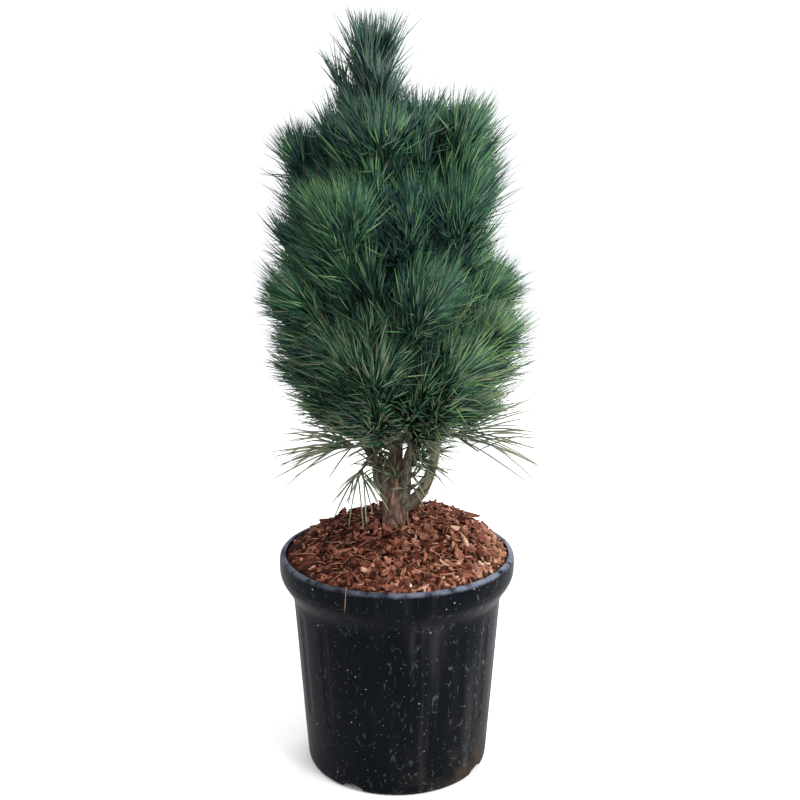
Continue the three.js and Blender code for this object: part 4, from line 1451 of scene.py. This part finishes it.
# %% [markdown]
# ## The shoots' wood
#
# Between the needles the young wood shows here and there, brown and ridged by the scars of old
# needles. A curve with a bevel for each shoot would be slow for so many. Each is a slim six-sided
# cone, all in one array.

# %% Make the twigs
WOOD_SIDES = 6
WOOD_SHARE = np.array([0, 0.35, 0.7, 0.97])
WOOD_RADIUS = 2.6
WOOD_TAPER = 1.4
STEM_START = 0.3
STEM_MORE = 6.0


def shoot_points(start, way, length):
    """Six-sided cones: radius from 2.6 to 1.2 mm over four rings, and a tip."""
    radius = WOOD_RADIUS - WOOD_TAPER * WOOD_SHARE
    spine = start[:, None] + (length[:, None] * WOOD_SHARE)[:, :, None] * way[:, None]
    spoke = spokes(way, np.array([0.31, 0.93, 0.17]), WOOD_SIDES)
    rings = spine[:, :, None] + radius[None, :, None, None] * spoke[:, None]
    tip = start + way * length[:, None] * 1.02
    return np.concatenate([rings.reshape(len(start), -1, 3), tip[:, None]], 1)


def twig_recipe(wire):
    """Brown that turns greener in patches, ridged by needle scars."""
    soft = wire.noise(60, 3)
    scars = wire.noise(500, 2)
    colour = soft.ramp((0.35, (0.055, 0.036, 0.018)), (0.7, (0.13, 0.105, 0.045)))
    return {"Base Color": colour, "Normal": wire.bump(scars, 0.6)}


cones = shoot_points(
    np.concatenate([start, roots + STEM_START * axes]), np.concatenate([ahead, axes]),
    np.append(reach, np.full(len(names), STEM_LENGTH + STEM_MORE)),
)
one_cone = tube_faces(len(WOOD_SHARE), WOOD_SIDES, closed_foot=False)
faces = repeated(one_cone, len(cones), cones.shape[1])
young_wood = finish("young_wood", {"Roughness": 0.8}, twig_recipe)
put("shoots", cones.reshape(-1, 3), faces, "bark", [young_wood])

# %% [markdown]
# ## Floor, light and camera
#
# The plant stands on a plain pale floor under three large soft lamps, as in a studio. One lamp and
# a dark world would give hard, black shadows among the needles. The camera looks slightly down at
# it from the front.

# %% The floor
FLOOR_HALF = 60.0
corners = [(-FLOOR_HALF, -FLOOR_HALF, 0), (FLOOR_HALF, -FLOOR_HALF, 0)]
corners += [(FLOOR_HALF, FLOOR_HALF, 0), (-FLOOR_HALF, FLOOR_HALF, 0)]
floor_mesh = bpy.data.meshes.new("floor")
floor_mesh.from_pydata(corners, [], [(0, 1, 2), (0, 2, 3)])
floor = bpy.data.objects.new("floor", floor_mesh)
bpy.context.scene.collection.objects.link(floor)
pale = finish("pale_floor", {"Base Color": (0.9, 0.9, 0.9, 1), "Roughness": 0.8})
floor_mesh.materials.append(pale)
print("floor:", 2 * FLOOR_HALF, "metres square")

# %% The lamps and the sky
# place and aim in metres, size and power in watts
LAMPS = {
    "key_lamp": ((1.9, -1.6, 2.4), (0, 0, 0.6), 1.6, 105),
    "fill_lamp": ((-2.0, -1.6, 1.8), (0, 0, 0.6), 2.0, 8),
    "back_lamp": ((0.6, 2.2, 2.2), (0, 0, 0.7), 1.6, 35),
}
SKY = {"Color": (0.97, 0.98, 1, 1), "Strength": 1.15}


def lamp(name, place, aim, size, power):
    """A square area lamp at a place, turned towards the point it lights."""
    light = bpy.data.lights.new(name, "AREA")
    light.size = size
    light.energy = power
    holder = bpy.data.objects.new(name, light)
    bpy.context.scene.collection.objects.link(holder)
    away = unit(np.array(aim, float) - place)
    holder.rotation_euler = (math.acos(-away[2]), 0, math.atan2(-away[0], away[1]))
    holder.location = place


for name, settings in LAMPS.items():
    lamp(name, *settings)
world = bpy.data.worlds.new("studio")
bpy.context.scene.world = world
world.use_nodes = True
for socket, value in SKY.items():
    world.node_tree.nodes["Background"].inputs[socket].default_value = value
bpy.context.scene.view_settings.view_transform = "Standard"
print("lamps:", len(LAMPS))

# %% The camera
CAMERA_PLACE = (0.00447, -1.6442, 0.9439)
CAMERA_TILT = 76.313  # degrees up from straight down
lens = bpy.data.cameras.new("camera")
lens.sensor_width = 36
lens.lens = 54
lens.clip_start = 0.05
camera = bpy.data.objects.new("camera", lens)
camera.location = CAMERA_PLACE
camera.rotation_euler = (math.radians(CAMERA_TILT), 0, 0)
bpy.context.scene.collection.objects.link(camera)
bpy.context.scene.camera = camera
print("camera at", CAMERA_PLACE)
